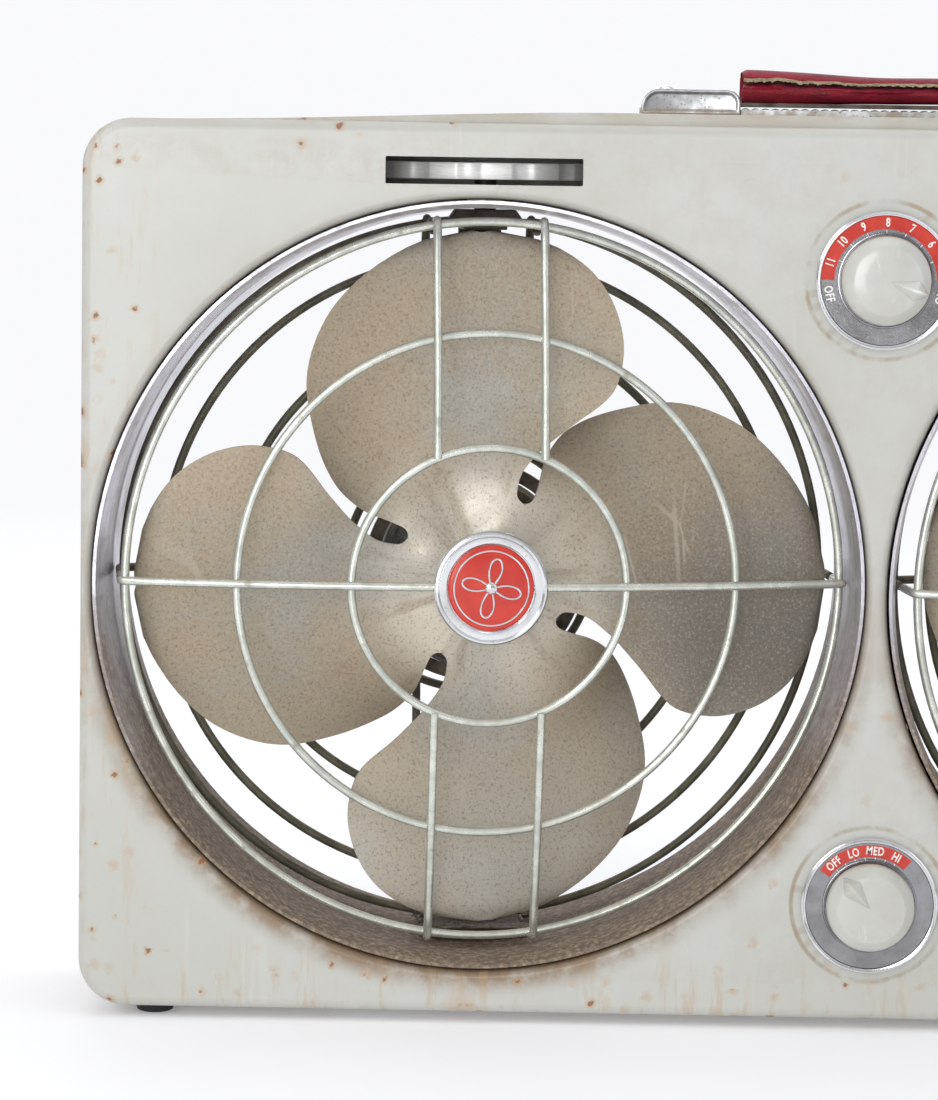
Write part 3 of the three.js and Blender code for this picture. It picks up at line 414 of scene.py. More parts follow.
class Weaver:
    """Adds nodes to a node tree and links them."""

    def __init__(self, tree):
        self.tree = tree

    def feed(self, socket, value):
        if isinstance(value, bpy.types.NodeSocket):
            self.tree.links.new(value, socket)
        elif isinstance(value, (tuple, list)) and len(value) == 3 and socket.type == "RGBA":
            socket.default_value = (*value, 1)
        else:
            socket.default_value = value

    def node(self, kind, inputs=None, **settings):
        made = self.tree.nodes.new(kind)
        for name, value in settings.items():
            setattr(made, name, value)
        for name, value in (inputs or {}).items():
            self.feed(made.inputs[name], value)
        return made

    def math(self, operation, *values, clamp=False):
        made = self.node("ShaderNodeMath", operation=operation, use_clamp=clamp)
        for socket, value in zip(made.inputs, values):
            self.feed(socket, value)
        return made.outputs[0]

    def mix(self, factor, first, second, blend="MIX"):
        made = self.node("ShaderNodeMix", data_type="RGBA", blend_type=blend, clamp_factor=True)
        self.feed(made.inputs[0], factor)
        self.feed(made.inputs[6], first)
        self.feed(made.inputs[7], second)
        return made.outputs[2]

    def blend(self, factor, first, second):
        made = self.node("ShaderNodeMix", data_type="FLOAT", clamp_factor=True)
        self.feed(made.inputs[0], factor)
        self.feed(made.inputs[2], first)
        self.feed(made.inputs[3], second)
        return made.outputs[0]

    def noise(self, point, scale, detail=4.0, roughness=0.55, distortion=0.0):
        made = self.node(
            "ShaderNodeTexNoise",
            {"Vector": point, "Scale": scale, "Detail": detail, "Roughness": roughness,
             "Distortion": distortion},
        )
        return made.outputs["Fac"]

    def rise(self, value, low, high):
        """0 below low, 1 above high, smooth between. High may be the lower of the two."""
        made = self.node("ShaderNodeMapRange", interpolation_type="SMOOTHSTEP")
        for name, fed in {"Value": value, "From Min": low, "From Max": high}.items():
            self.feed(made.inputs[name], fed)
        return made.outputs["Result"]

    def spread(self, point, x=1.0, y=1.0, z=1.0, move=(0, 0, 0)):
        made = self.node("ShaderNodeMapping", {"Vector": point, "Location": move, "Scale": (x, y, z)})
        return made.outputs["Vector"]

    def split(self, point):
        made = self.node("ShaderNodeSeparateXYZ", {"Vector": point})
        return made.outputs["X"], made.outputs["Y"], made.outputs["Z"]

    def object_point(self):
        return self.node("ShaderNodeTexCoord").outputs["Object"]

    def home_point(self):
        return self.node("ShaderNodeAttribute", attribute_name="home").outputs["Vector"]

    def tint(self, name):
        return tuple(getattr(bpy.context.scene.ventilator_colours, name))

    def times(self, *values, clamp=False):
        return self.math("MULTIPLY", *values, clamp=clamp)

    def scaled(self, value, factor, offset, clamp=False):
        return self.math("MULTIPLY_ADD", value, factor, offset, clamp=clamp)

    def effect(self, tree, **inputs):
        made = self.node("ShaderNodeGroup", node_tree=tree)
        for name, value in inputs.items():
            self.feed(made.inputs[name.replace("_", " ")], value)
        return made.outputs


def effect_group(name, inputs, outputs, weave):
    """A node group with named inputs and outputs, built once."""
    tree = bpy.data.node_groups.get(name)
    if tree:
        return tree
    tree = bpy.data.node_groups.new(name, "ShaderNodeTree")
    for label, default in inputs.items():
        kind = "NodeSocketVector" if default is None else "NodeSocketFloat"
        socket = tree.interface.new_socket(name=label, in_out="INPUT", socket_type=kind)
        if default is not None:
            socket.default_value = default
    for label in outputs:
        tree.interface.new_socket(name=label, in_out="OUTPUT", socket_type="NodeSocketFloat")
    entry = tree.nodes.new("NodeGroupInput")
    way_out = tree.nodes.new("NodeGroupOutput")
    for label, value in weave(Weaver(tree), entry.outputs).items():
        tree.links.new(value, way_out.inputs[label])
    return tree


def rust_freckles():
    """Small round chips of rust, each with a paler stain round it."""

    def weave(w, given):
        bend = w.noise(given["Point"], w.times(given["Scale"], 3.0), 3.0)
        bent = w.node("ShaderNodeVectorMath", operation="ADD")
        w.feed(bent.inputs[0], given["Point"])
        shake = w.node("ShaderNodeVectorMath", operation="SCALE")
        w.feed(shake.inputs[0], w.node("ShaderNodeCombineXYZ", {"X": bend, "Y": bend, "Z": bend}).outputs[0])
        w.feed(shake.inputs["Scale"], w.math("DIVIDE", 0.5, given["Scale"]))
        w.feed(bent.inputs[1], shake.outputs[0])
        cells = w.node("ShaderNodeTexVoronoi", {"Vector": bent.outputs[0], "Scale": given["Scale"]})
        luck = w.node("ShaderNodeSeparateColor", {"Color": cells.outputs["Color"]})
        chosen = w.math("LESS_THAN", luck.outputs["Red"], given["Amount"])
        size = w.scaled(luck.outputs["Green"], 0.22, 0.07)
        chip = w.rise(cells.outputs["Distance"], size, w.times(size, 0.55))
        stain = w.rise(cells.outputs["Distance"], w.times(size, 2.4), w.times(size, 0.7))
        return {"Chip": w.times(chip, chosen), "Stain": w.times(stain, chosen)}

    inputs = {"Point": None, "Scale": 60.0, "Amount": 0.1}
    return effect_group("Rust freckles", inputs, ["Chip", "Stain"], weave)


def settled_dust():
    """Dust that lies thickest on faces that look up, in uneven patches."""

    def weave(w, given):
        normal = w.node("ShaderNodeNewGeometry").outputs["Normal"]
        up = w.split(normal)[2]
        patches = w.noise(given["Point"], given["Scale"], 6.0, 0.65)
        facing = w.times(w.math("MAXIMUM", up, 0.0), given["Up"])
        level = w.math("ADD", w.math("ADD", patches, facing), given["Amount"])
        return {"Mask": w.rise(level, 0.45, 0.85)}

    return effect_group(
        "Settled dust", {"Point": None, "Scale": 40.0, "Amount": 0.0, "Up": 0.3}, ["Mask"], weave
    )


def fine_scratches():
    """Thin crossing scratches, broken up so that few run far."""

    def weave(w, given):
        lines = []
        for stretch, turn in ((0.06, 0.4), (0.09, -0.9)):
            turned_point = w.node(
                "ShaderNodeMapping",
                {"Vector": given["Point"], "Rotation": (turn, turn * 0.5, turn), "Scale": (1, 1, stretch)},
            ).outputs["Vector"]
            cells = w.node(
                "ShaderNodeTexVoronoi",
                {"Vector": turned_point, "Scale": given["Scale"]},
                feature="DISTANCE_TO_EDGE",
            )
            thin = w.rise(cells.outputs["Distance"], 0.022, 0.004)
            broken = w.rise(w.noise(given["Point"], w.times(given["Scale"], 0.6), 3.0), 0.56, 0.68)
            lines.append(w.times(thin, broken))
        return {"Mask": w.times(w.math("MAXIMUM", *lines), given["Amount"])}

    return effect_group("Fine scratches", {"Point": None, "Scale": 90.0, "Amount": 1.0}, ["Mask"], weave)


def ring_stain():
    """How near a point is to a circle round the Y axis, and how far below the circle's middle."""

    def weave(w, given):
        x, _, z = w.split(given["Point"])
        across = w.math("SUBTRACT", w.math("ABSOLUTE", x), given["Across"])
        up = w.math("SUBTRACT", z, given["Height"])
        reach = w.math("SQRT", w.math("ADD", w.math("POWER", across, 2.0), w.math("POWER", up, 2.0)))
        away = w.math("ABSOLUTE", w.math("SUBTRACT", reach, given["Radius"]))
        below = w.rise(w.math("DIVIDE", up, given["Radius"]), 0.25, -0.95)
        return {"Mask": w.rise(away, given["Width"], 0.0), "Below": below, "Reach": reach}

    inputs = {"Point": None, "Across": 0.1432, "Height": 0.1592, "Radius": 0.14, "Width": 0.02}
    return effect_group("Ring stain", inputs, ["Mask", "Below", "Reach"], weave)


def worn_edges():
    """Outer edges, where a finish has rubbed thin."""

    def weave(w, given):
        sharp = w.node("ShaderNodeNewGeometry").outputs["Pointiness"]
        rough = w.noise(given["Point"], given["Scale"], 5.0, 0.7)
        edge = w.rise(sharp, 0.505, 0.56)
        return {"Mask": w.times(edge, w.rise(rough, 0.4, 0.62))}

    return effect_group("Worn edges", {"Point": None, "Scale": 120.0}, ["Mask"], weave)


def surface(name, weave):
    """A material whose weave function feeds one Principled shader."""
    material = bpy.data.materials.get(name)
    if material:
        return material
    material = bpy.data.materials.new(name)
    material.use_nodes = True
    tree = material.node_tree
    tree.nodes.clear()
    w = Weaver(tree)
    shader = w.node("ShaderNodeBsdfPrincipled")
    output = w.node("ShaderNodeOutputMaterial")
    tree.links.new(shader.outputs[0], output.inputs["Surface"])
    for label, value in weave(w).items():
        if label == "Height":
            height, depth = value
            bump = w.node("ShaderNodeBump", {"Height": height, "Distance": depth, "Strength": 1.0})
            w.feed(shader.inputs["Normal"], bump.outputs["Normal"])
        else:
            w.feed(shader.inputs[label], value)
    return material


def material_named(name):
    """Makes a weave function give its material, which is built once."""
    return lambda weave: lambda: surface(name, weave)


# ---- Finishes ----


def from_dial(w, x, z, dial):
    """How far a point lies from a dial's middle."""
    up = w.math("SUBTRACT", z, DIAL_HEIGHTS[dial])
    return w.math("SQRT", w.math("ADD", w.math("POWER", x, 2.0), w.math("POWER", up, 2.0)))


@material_named("Aged grey enamel")
def case_enamel(w):
    point = w.object_point()
    x, y, z = w.split(point)
    cloud = w.noise(point, 9.0, 3.0, 0.5)
    speck = w.noise(point, 900.0, 2.0, 0.6)
    base = w.mix(w.rise(cloud, 0.35, 0.7), w.tint("enamel"), (0.495, 0.493, 0.452))
    base = w.mix(w.times(w.rise(speck, 0.62, 0.75), 0.25), base, (0.44, 0.43, 0.38))
    ring = w.effect(ring_stain(), Point=point, Radius=0.1395, Width=0.011)
    patchy = w.rise(w.noise(point, 45.0, 5.0, 0.65), 0.36, 0.62)
    lip = w.times(ring["Mask"], w.scaled(ring["Below"], 1.05, 0.14))
    base = w.mix(w.times(lip, w.scaled(patchy, 0.75, 0.35), clamp=True), base, (0.25, 0.175, 0.11))
    tight = w.effect(ring_stain(), Point=point, Radius=0.1385, Width=0.0042)
    base = w.mix(w.times(tight["Mask"], w.scaled(tight["Below"], 0.6, 0.4)),
                 base, w.tint("grime"))
    edge = w.rise(w.math("ABSOLUTE", x), 0.248, 0.28)
    low = w.rise(z, 0.04, 0.006)
    near = w.math("MAXIMUM", w.times(edge, w.rise(w.noise(point, 22.0), 0.38, 0.55)), low)
    amount = w.scaled(near, 0.34, 0.03)
    freckles = w.effect(rust_freckles(), Point=point, Scale=150.0, Amount=amount)
    large = w.effect(rust_freckles(), Point=point, Scale=42.0, Amount=w.scaled(near, 0.12, 0.022))
    runs = w.times(near, w.rise(w.noise(w.spread(point, 3, 1, 0.4), 60.0, 5.0, 0.7), 0.52, 0.66))
    stains = w.math("MAXIMUM", w.math("MAXIMUM", freckles["Stain"], large["Stain"]), w.times(runs, 0.8))
    base = w.mix(w.times(stains, 0.5), base, (0.47, 0.3, 0.15))
    dial = w.math("MINIMUM", from_dial(w, x, z, "thermostat"), from_dial(w, x, z, "speed"))
    shade = w.times(w.rise(w.math("ABSOLUTE", w.math("SUBTRACT", dial, 0.0282)), 0.0012, 0.0003), patchy)
    shade = w.times(shade, w.rise(y, 0.0, -0.02))
    base = w.mix(w.times(shade, 0.85), base, (0.33, 0.26, 0.17))
    chip = w.math("MAXIMUM", freckles["Chip"], large["Chip"])
    base = w.mix(w.times(chip, 0.85), base, w.tint("rust"))
    scratches = w.effect(fine_scratches(), Point=point, Scale=34.0, Amount=0.1)["Mask"]
    base = w.mix(scratches, base, (0.78, 0.78, 0.75))
    top = w.times(w.rise(z, 0.3235, 0.3262), w.rise(w.noise(point, 30.0, 5.0), 0.3, 0.6))
    base = w.mix(w.times(top, 0.45), base, (0.42, 0.34, 0.25))
    worn = w.effect(worn_edges(), Point=point, Scale=90.0)["Mask"]
    base = w.mix(w.times(worn, 0.35), base, (0.33, 0.24, 0.16))
    height = w.math("SUBTRACT", w.times(w.noise(point, 700.0, 2.0), 0.25), w.times(chip, 0.8))
    rough = w.scaled(cloud, 0.18, w.scaled(chip, 0.3, 0.27))
    return {"Base Color": base, "Roughness": rough, "Metallic": 0.0, "Specular IOR Level": 0.5,
            "Coat Weight": 0.12, "Coat Roughness": 0.25, "Height": (height, 0.00012)}


@material_named("Grimy drawn steel")
def liner_steel(w):
    point = w.object_point()
    drawn = w.noise(w.spread(point, 1, 14, 1), 60.0, 5.0, 0.6)
    base = w.mix(w.rise(drawn, 0.3, 0.7), w.tint("liner"), (0.5, 0.48, 0.54))
    ring = w.effect(ring_stain(), Point=point, Radius=0.137, Width=0.02)
    patches = w.noise(point, 26.0, 6.0, 0.7)
    dirt = w.scaled(ring["Below"], 1.5, w.scaled(patches, 1.6, -0.75), clamp=True)
    lint = w.rise(w.noise(point, 420.0, 4.0, 0.7), 0.4, 0.7)
    brown = w.mix(lint, w.tint("grime"), (0.4, 0.3, 0.2))
    base = w.mix(w.times(dirt, 0.92), base, brown)
    streak = w.rise(w.noise(w.spread(point, 1, 0.15, 1), 130.0, 4.0), 0.55, 0.75)
    base = w.mix(w.times(streak, 0.4), base, (0.14, 0.1, 0.075))
    return {"Base Color": base, "Metallic": w.scaled(dirt, -0.75, 0.8, clamp=True),
            "Roughness": w.scaled(dirt, 0.4, w.scaled(drawn, 0.2, 0.2)),
            "Height": (w.math("ADD", w.times(lint, dirt), w.times(drawn, 0.1)), 0.0003)}


@material_named("Dull zinc wire")
def zinc_wire(w):
    point = w.home_point()
    dull = w.noise(point, 120.0, 5.0, 0.65)
    base = w.mix(w.rise(dull, 0.3, 0.72), w.tint("zinc"), (0.5, 0.52, 0.46))
    dust = w.effect(settled_dust(), Point=point, Scale=70.0, Amount=-0.12, Up=0.32)["Mask"]
    base = w.mix(w.times(dust, 0.6), base, w.tint("dust"))
    freckles = w.effect(rust_freckles(), Point=point, Scale=220.0, Amount=0.09)
    base = w.mix(w.times(freckles["Stain"], 0.5), base, (0.2, 0.17, 0.12))
    clean = w.math("SUBTRACT", 1.0, w.math("MAXIMUM", dust, freckles["Stain"]), clamp=True)
    return {"Base Color": base, "Metallic": w.scaled(clean, 0.6, 0.15),
            "Roughness": w.scaled(dull, 0.3, 0.14),
            "Height": (w.math("ADD", dull, w.times(dust, 0.6)), 0.00018)}


@material_named("Oxidised dark wire")
def dark_wire(w):
    point = w.home_point()
    patches = w.noise(point, 90.0, 5.0, 0.65)
    dust = w.effect(settled_dust(), Point=point, Scale=110.0, Amount=-0.2, Up=0.45)["Mask"]
    base = w.mix(w.rise(patches, 0.35, 0.7), (0.085, 0.078, 0.056), (0.17, 0.155, 0.11))
    base = w.mix(w.times(dust, 0.5), base, w.tint("dust"))
    return {"Base Color": base, "Metallic": 0.25, "Roughness": w.scaled(patches, 0.3, 0.4),
            "Height": (patches, 0.0002)}


@material_named("Dusty blade paint")
def dusty_blade(w):
    point = w.home_point()
    x, _, z = w.split(point)
    reach = w.math("SQRT", w.math("ADD", w.math("POWER", x, 2.0), w.math("POWER", z, 2.0)))
    angle = w.math("ARCTAN2", x, z)
    fourth = w.math("SINE", w.scaled(angle, 4.0, 0.9))
    cloud = w.noise(point, 22.0, 5.0, 0.6)
    world = w.noise(w.object_point(), 14.0, 2.0, 0.5)
    grain = w.noise(point, 1050.0, 3.0, 0.75)
    coarse = w.noise(point, 330.0, 4.0, 0.7)
    base = w.mix(w.rise(cloud, 0.32, 0.7), w.tint("blade"), (0.27, 0.255, 0.22))
    dust_level = w.math("ADD", w.times(fourth, -0.14), w.math("ADD", cloud, w.times(world, 0.5)))
    dust = w.rise(w.scaled(coarse, 0.35, dust_level), 0.62, 1.05)
    base = w.mix(w.times(dust, 0.8), base, w.tint("dust"))
    shaded = w.times(w.rise(x, 0.02, 0.08), w.rise(z, 0.06, -0.03))
    base = w.mix(w.times(shaded, 0.72), base, (0.1, 0.09, 0.075))
    base = w.mix(w.times(w.rise(z, -0.03, -0.09), 0.4), base, (0.56, 0.52, 0.45))
    hub = w.rise(w.scaled(cloud, 0.03, reach), 0.075, 0.035)
    base = w.mix(w.times(hub, 0.8), base, (0.62, 0.585, 0.51))
    streaks = w.noise(w.node("ShaderNodeCombineXYZ", {"X": w.times(angle, 1.5),
                                                    "Y": w.times(reach, 9.0)}).outputs[0], 2.2, 4.0, 0.6)
    brown = w.times(w.rise(streaks, 0.48, 0.74), w.rise(reach, 0.085, 0.022))
    base = w.mix(w.times(brown, 0.6), base, (0.24, 0.16, 0.09))
    base = w.mix(w.times(w.rise(grain, 0.53, 0.66), 0.5), base, (0.12, 0.095, 0.065))
    base = w.mix(w.times(w.rise(grain, 0.47, 0.36), 0.32), base, (0.55, 0.48, 0.38))
    scratches = w.effect(fine_scratches(), Point=point, Scale=38.0, Amount=0.55)["Mask"]
    base = w.mix(scratches, base, (0.5, 0.45, 0.38))
    rim = w.rise(reach, 0.119, 0.127)
    base = w.mix(w.times(rim, w.times(coarse, 0.8)), base, (0.1, 0.08, 0.055))
    return {"Base Color": base, "Metallic": w.scaled(hub, 0.4, 0.15),
            "Roughness": w.scaled(dust, 0.25, w.scaled(hub, -0.2, 0.48)),
            "Height": (w.scaled(coarse, 0.5, grain), 0.00012)}


@material_named("Bright plate")
def bright_plate(w):
    point = w.object_point()
    haze = w.noise(point, 55.0, 4.0, 0.6)
    pits = w.effect(rust_freckles(), Point=point, Scale=700.0, Amount=0.1)
    base = w.mix(w.rise(haze, 0.4, 0.75), w.tint("chrome"), (0.62, 0.62, 0.62))
    base = w.mix(w.times(pits["Stain"], 0.4), base, (0.3, 0.27, 0.22))
    return {"Base Color": base, "Metallic": 1.0, "Roughness": w.scaled(haze, 0.16, 0.06),
            "Height": (w.times(pits["Chip"], -1.0), 0.00002)}


@material_named("Satin zinc")
def satin_zinc_painted_glow(w):
    point = w.home_point()
    brushed = w.noise(w.spread(point, 1, 1, 12), 220.0, 4.0, 0.6)
    cloud = w.noise(point, 70.0, 4.0, 0.6)
    base = w.mix(w.rise(brushed, 0.35, 0.65), (0.95, 0.95, 0.94), (0.82, 0.82, 0.8))
    base = w.mix(w.times(w.rise(cloud, 0.55, 0.75), 0.35), base, (0.5, 0.47, 0.42))
    return {"Base Color": base, "Metallic": w.scaled(cloud, 0.3, 0.1),
            "Roughness": w.scaled(brushed, 0.2, 0.3), "Height": (brushed, 0.00004),
            # The faint white emission is painted light, a glow that brightens the wheel deep in its slot.
            "Emission Color": (1.0, 1.0, 0.98, 1.0), "Emission Strength": 0.04}


@material_named("Pitted plate")
def pitted_plate(w):
    point = w.object_point()
    haze = w.noise(point, 90.0, 5.0, 0.65)
    fine = w.noise(point, 700.0, 4.0, 0.7)
    pits = w.effect(rust_freckles(), Point=point, Scale=800.0, Amount=0.3)
    # Faces that look to the front are painted dark grey, a painted reflection of the dim room in front; the
    # real pit stains and the roughness are made stronger on those faces too.
    front = w.times(w.split(w.node("ShaderNodeNewGeometry").outputs["Normal"])[1], -1.0)
    side = w.rise(front, 0.35, 0.85)
    base = w.mix(w.rise(haze, 0.35, 0.7), w.tint("chrome"), (0.5, 0.5, 0.48))
    base = w.mix(w.times(side, w.scaled(w.rise(haze, 0.35, 0.65), 0.5, 0.3)), base, (0.2, 0.21, 0.23))
    base = w.mix(w.times(pits["Stain"], w.scaled(side, 0.5, 0.15)), base, (0.09, 0.085, 0.08))
    tan = w.times(w.rise(w.split(point)[2], 0.3335, 0.3302), w.rise(haze, 0.35, 0.6))
    base = w.mix(w.times(tan, 0.75), base, (0.4, 0.31, 0.21))
    return {"Base Color": base, "Metallic": w.scaled(tan, -0.8, 0.95, clamp=True),
            "Roughness": w.scaled(side, 0.14, w.scaled(haze, 0.2, 0.08)),
            "Height": (w.math("SUBTRACT", w.times(fine, 0.3), pits["Chip"]), 0.00003)}


@material_named("Dial face metal")
def dial_metal(w):
    point = w.object_point()
    haze = w.noise(point, 80.0, 5.0, 0.6)
    fine = w.noise(point, 1300.0, 2.0, 0.7)
    base = w.mix(w.rise(haze, 0.3, 0.7), (0.33, 0.33, 0.35), (0.23, 0.225, 0.23))
    dust = w.rise(w.noise(point, 1100.0, 3.0, 0.8), 0.66, 0.72)
    base = w.mix(w.times(dust, 0.6), base, (0.6, 0.57, 0.5))
    return {"Base Color": base, "Metallic": 0.95, "Roughness": w.scaled(fine, 0.2, 0.1),
            "Height": (fine, 0.00003)}


@material_named("Red enamel")
def scale_red(w):
    point = w.object_point()
    uneven = w.noise(point, 120.0, 4.0, 0.6)
    base = w.mix(w.rise(uneven, 0.3, 0.7), w.tint("red"), (0.62, 0.035, 0.014))
    chips = w.effect(rust_freckles(), Point=point, Scale=900.0, Amount=0.07)["Chip"]
    base = w.mix(w.times(chips, 0.5), base, (0.25, 0.04, 0.02))
    return {"Base Color": base, "Roughness": w.scaled(uneven, 0.2, 0.14),
            "Coat Weight": 0.4, "Coat Roughness": 0.08, "Height": (uneven, 0.00002)}


@material_named("Scale white")
def figure_white(w):
    point = w.object_point()
    worn = w.noise(point, 500.0, 3.0, 0.7)
    base = w.mix(w.rise(worn, 0.55, 0.72), (0.86, 0.85, 0.8), (0.6, 0.55, 0.46))
    return {"Base Color": base, "Roughness": w.scaled(worn, 0.2, 0.35), "Height": (worn, 0.00002)}


@material_named("Milky knob plastic")
def knob_plastic(w):
    point = w.object_point()
    milky = w.noise(point, 60.0, 4.0, 0.6)
    base = w.mix(w.rise(milky, 0.3, 0.75), w.tint("cream"), (0.5, 0.495, 0.45))
    scuffs = w.effect(fine_scratches(), Point=point, Scale=260.0, Amount=0.3)["Mask"]
    base = w.mix(scuffs, base, (0.85, 0.85, 0.8))
    back = w.rise(w.split(point)[1], FRONT_Y - 0.0085, FRONT_Y - 0.0035)
    base = w.mix(w.times(back, w.times(milky, 1.1)), base, (0.42, 0.32, 0.2))
    dirt = w.rise(w.noise(point, 380.0, 4.0, 0.7), 0.64, 0.74)
    base = w.mix(w.times(dirt, 0.25), base, (0.5, 0.4, 0.28))
    return {"Base Color": base, "Roughness": w.scaled(milky, 0.2, 0.12),
            "Subsurface Weight": 0.25, "Subsurface Radius": (0.004, 0.0038, 0.003), "Subsurface Scale": 1.0,
            "Coat Weight": 0.3, "Coat Roughness": 0.12, "Height": (scuffs, 0.00002)}


@material_named("Worn crimson vinyl")
def grip_vinyl(w):
    point = w.object_point()
    cells = w.node("ShaderNodeTexVoronoi", {"Vector": w.spread(point, 0.6, 1, 1), "Scale": 1500.0},
                   feature="F1")
    wear = w.noise(point, 70.0, 6.0, 0.65)
    creases = w.noise(w.spread(point, 0.25, 1, 1), 300.0, 5.0, 0.65)
    base = w.mix(w.rise(creases, 0.35, 0.68), w.tint("vinyl"), (0.13, 0.004, 0.014))
    base = w.mix(w.times(w.rise(wear, 0.56, 0.75), 0.3), base, (0.33, 0.015, 0.035))
    worn = w.rise(w.noise(point, 420.0, 5.0, 0.75), 0.62, 0.7)
    base = w.mix(w.times(worn, 0.5), base, (0.33, 0.2, 0.12))
    return {"Base Color": base, "Roughness": w.scaled(wear, 0.25, 0.38),
            "Specular IOR Level": 0.3,
            "Height": (w.scaled(creases, 1.2, cells.outputs["Distance"]), 0.00022)}


@material_named("Frayed cloth backing")
def frayed_backing(w):
    point = w.object_point()
    thread = w.noise(w.spread(point, 0.3, 1, 2.5), 1500.0, 4.0, 0.7)
    base = w.mix(w.rise(thread, 0.35, 0.65), (0.2, 0.15, 0.09), (0.5, 0.41, 0.27))
    return {"Base Color": base, "Roughness": w.scaled(thread, 0.1, 0.82), "Height": (thread, 0.0003)}


@material_named("Torn lining")
def groove_shade_paint(w):
    point = w.object_point()
    thread = w.noise(w.spread(point, 0.4, 1, 1), 700.0, 5.0, 0.7)
    # Near-black crimson, painted shade for the groove below the torn edge of the grip.
    base = w.mix(w.rise(thread, 0.4, 0.7), (0.035, 0.006, 0.008), (0.16, 0.03, 0.035))
    return {"Base Color": base, "Roughness": w.scaled(thread, 0.15, 0.7), "Height": (thread, 0.0003)}


@material_named("Aged black rubber")
def black_rubber(w):
    point = w.object_point()
    bloom = w.noise(point, 140.0, 5.0, 0.65)
    base = w.mix(w.rise(bloom, 0.45, 0.8), (0.014, 0.014, 0.015), (0.05, 0.048, 0.045))
    dust = w.effect(settled_dust(), Point=point, Scale=160.0, Amount=-0.2, Up=0.3)["Mask"]
    base = w.mix(w.times(dust, 0.4), base, (0.2, 0.17, 0.13))
    return {"Base Color": base, "Roughness": w.scaled(bloom, 0.2, 0.6),
            "Height": (w.noise(point, 1500.0, 3.0), 0.0001)}


@material_named("Crinkled motor paint")
def motor_paint(w):
    point = w.home_point()
    crinkle = w.noise(point, 900.0, 4.0, 0.6)
    dust = w.effect(settled_dust(), Point=point, Scale=60.0, Amount=-0.06, Up=0.35)["Mask"]
    base = w.mix(w.rise(crinkle, 0.4, 0.7), (0.016, 0.016, 0.017), (0.035, 0.034, 0.033))
    base = w.mix(w.times(dust, 0.62), base, w.tint("dust"))
    worn = w.effect(worn_edges(), Point=point, Scale=150.0)["Mask"]
    base = w.mix(w.times(worn, 0.5), base, (0.22, 0.2, 0.18))
    return {"Base Color": base, "Metallic": 0.1, "Roughness": w.scaled(dust, 0.35, 0.4),
            "Height": (w.scaled(dust, 0.6, crinkle), 0.0002)}


def dull_steel(name="Dull steel", home=True):
    def weave(w):
        point = w.home_point() if home else w.object_point()
        mill = w.noise(w.spread(point, 1, 1, 0.1), 500.0, 4.0, 0.6)
        stain = w.noise(point, 60.0, 6.0, 0.7)
        dust = w.effect(settled_dust(), Point=point, Scale=80.0, Amount=-0.1, Up=0.3)["Mask"]
        base = w.mix(w.rise(stain, 0.35, 0.7), (0.13, 0.11, 0.09), (0.05, 0.038, 0.027))
        base = w.mix(w.times(dust, 0.6), base, w.tint("grime"))
        return {"Base Color": base, "Metallic": w.scaled(dust, -0.6, 0.75, clamp=True),
                "Roughness": w.scaled(stain, 0.35, 0.28), "Height": (mill, 0.00008)}

    return surface(name, weave)


@material_named("Stacked laminations")
def laminations(w):
    point = w.home_point()
    stack = w.node("ShaderNodeTexWave", {"Vector": point, "Scale": 190.0, "Distortion": 0.4, "Detail": 2.0},
                   bands_direction="Y").outputs["Fac"]
    stain = w.noise(point, 140.0, 5.0, 0.65)
    base = w.mix(stack, (0.1, 0.095, 0.09), (0.3, 0.29, 0.28))
    base = w.mix(w.times(w.rise(stain, 0.5, 0.7), 0.6), base, (0.16, 0.08, 0.035))
    return {"Base Color": base, "Metallic": 0.7, "Roughness": w.scaled(stain, 0.3, 0.3),
            "Height": (stack, 0.0003)}


@material_named("Turned brass")
def turned_brass(w):
    point = w.object_point()
    tarnish = w.noise(point, 130.0, 5.0, 0.65)
    lines = w.noise(w.spread(point, 1, 30, 1), 200.0, 3.0)
    base = w.mix(w.rise(tarnish, 0.4, 0.75), (0.56, 0.4, 0.15), (0.24, 0.15, 0.06))
    return {"Base Color": base, "Metallic": 1.0, "Roughness": w.scaled(lines, 0.3, 0.2),
            "Height": (lines, 0.00004)}


@material_named("Phenolic moulding")
def phenolic(w):
    point = w.object_point()
    swirl = w.noise(point, 45.0, 5.0, 0.6, 1.5)
    base = w.mix(w.rise(swirl, 0.4, 0.7), (0.03, 0.018, 0.012), (0.075, 0.042, 0.026))
    return {"Base Color": base, "Roughness": w.scaled(swirl, 0.25, 0.3),
            "Height": (w.noise(point, 1200.0, 2.0), 0.00004)}


@material_named("Matted brown lint")
def matted_lint(w):
    point = w.home_point()
    tuft = w.noise(point, 260.0, 6.0, 0.8)
    base = w.mix(w.rise(tuft, 0.35, 0.68), (0.035, 0.02, 0.011), (0.15, 0.1, 0.06))
    return {"Base Color": base, "Roughness": 0.95, "Sheen Weight": 0.3, "Height": (tuft, 0.0012)}


@material_named("Pale studio floor")
def pale_floor(w):
    """A floor that glows more the farther off it is, so that it meets the backdrop without an edge."""
    point = w.object_point()
    mottle = w.noise(point, 3.0, 4.0)
    x, y, _ = w.split(point)
    reach = w.math("SQRT", w.math("ADD", w.math("POWER", x, 2.0), w.math("POWER", y, 2.0)))
    far = w.rise(reach, 0.5, 2.4)
    base = w.mix(mottle, (0.88, 0.885, 0.905), (0.92, 0.92, 0.935))
    base = w.mix(far, base, (0.0, 0.0, 0.0))
    return {"Base Color": base, "Roughness": w.scaled(mottle, 0.1, 0.6),
            "Specular IOR Level": 0.0, "Emission Color": (0.945, 0.95, 0.975, 1.0),
            "Emission Strength": w.scaled(far, 0.83, 0.17)}


# ---- Case ----

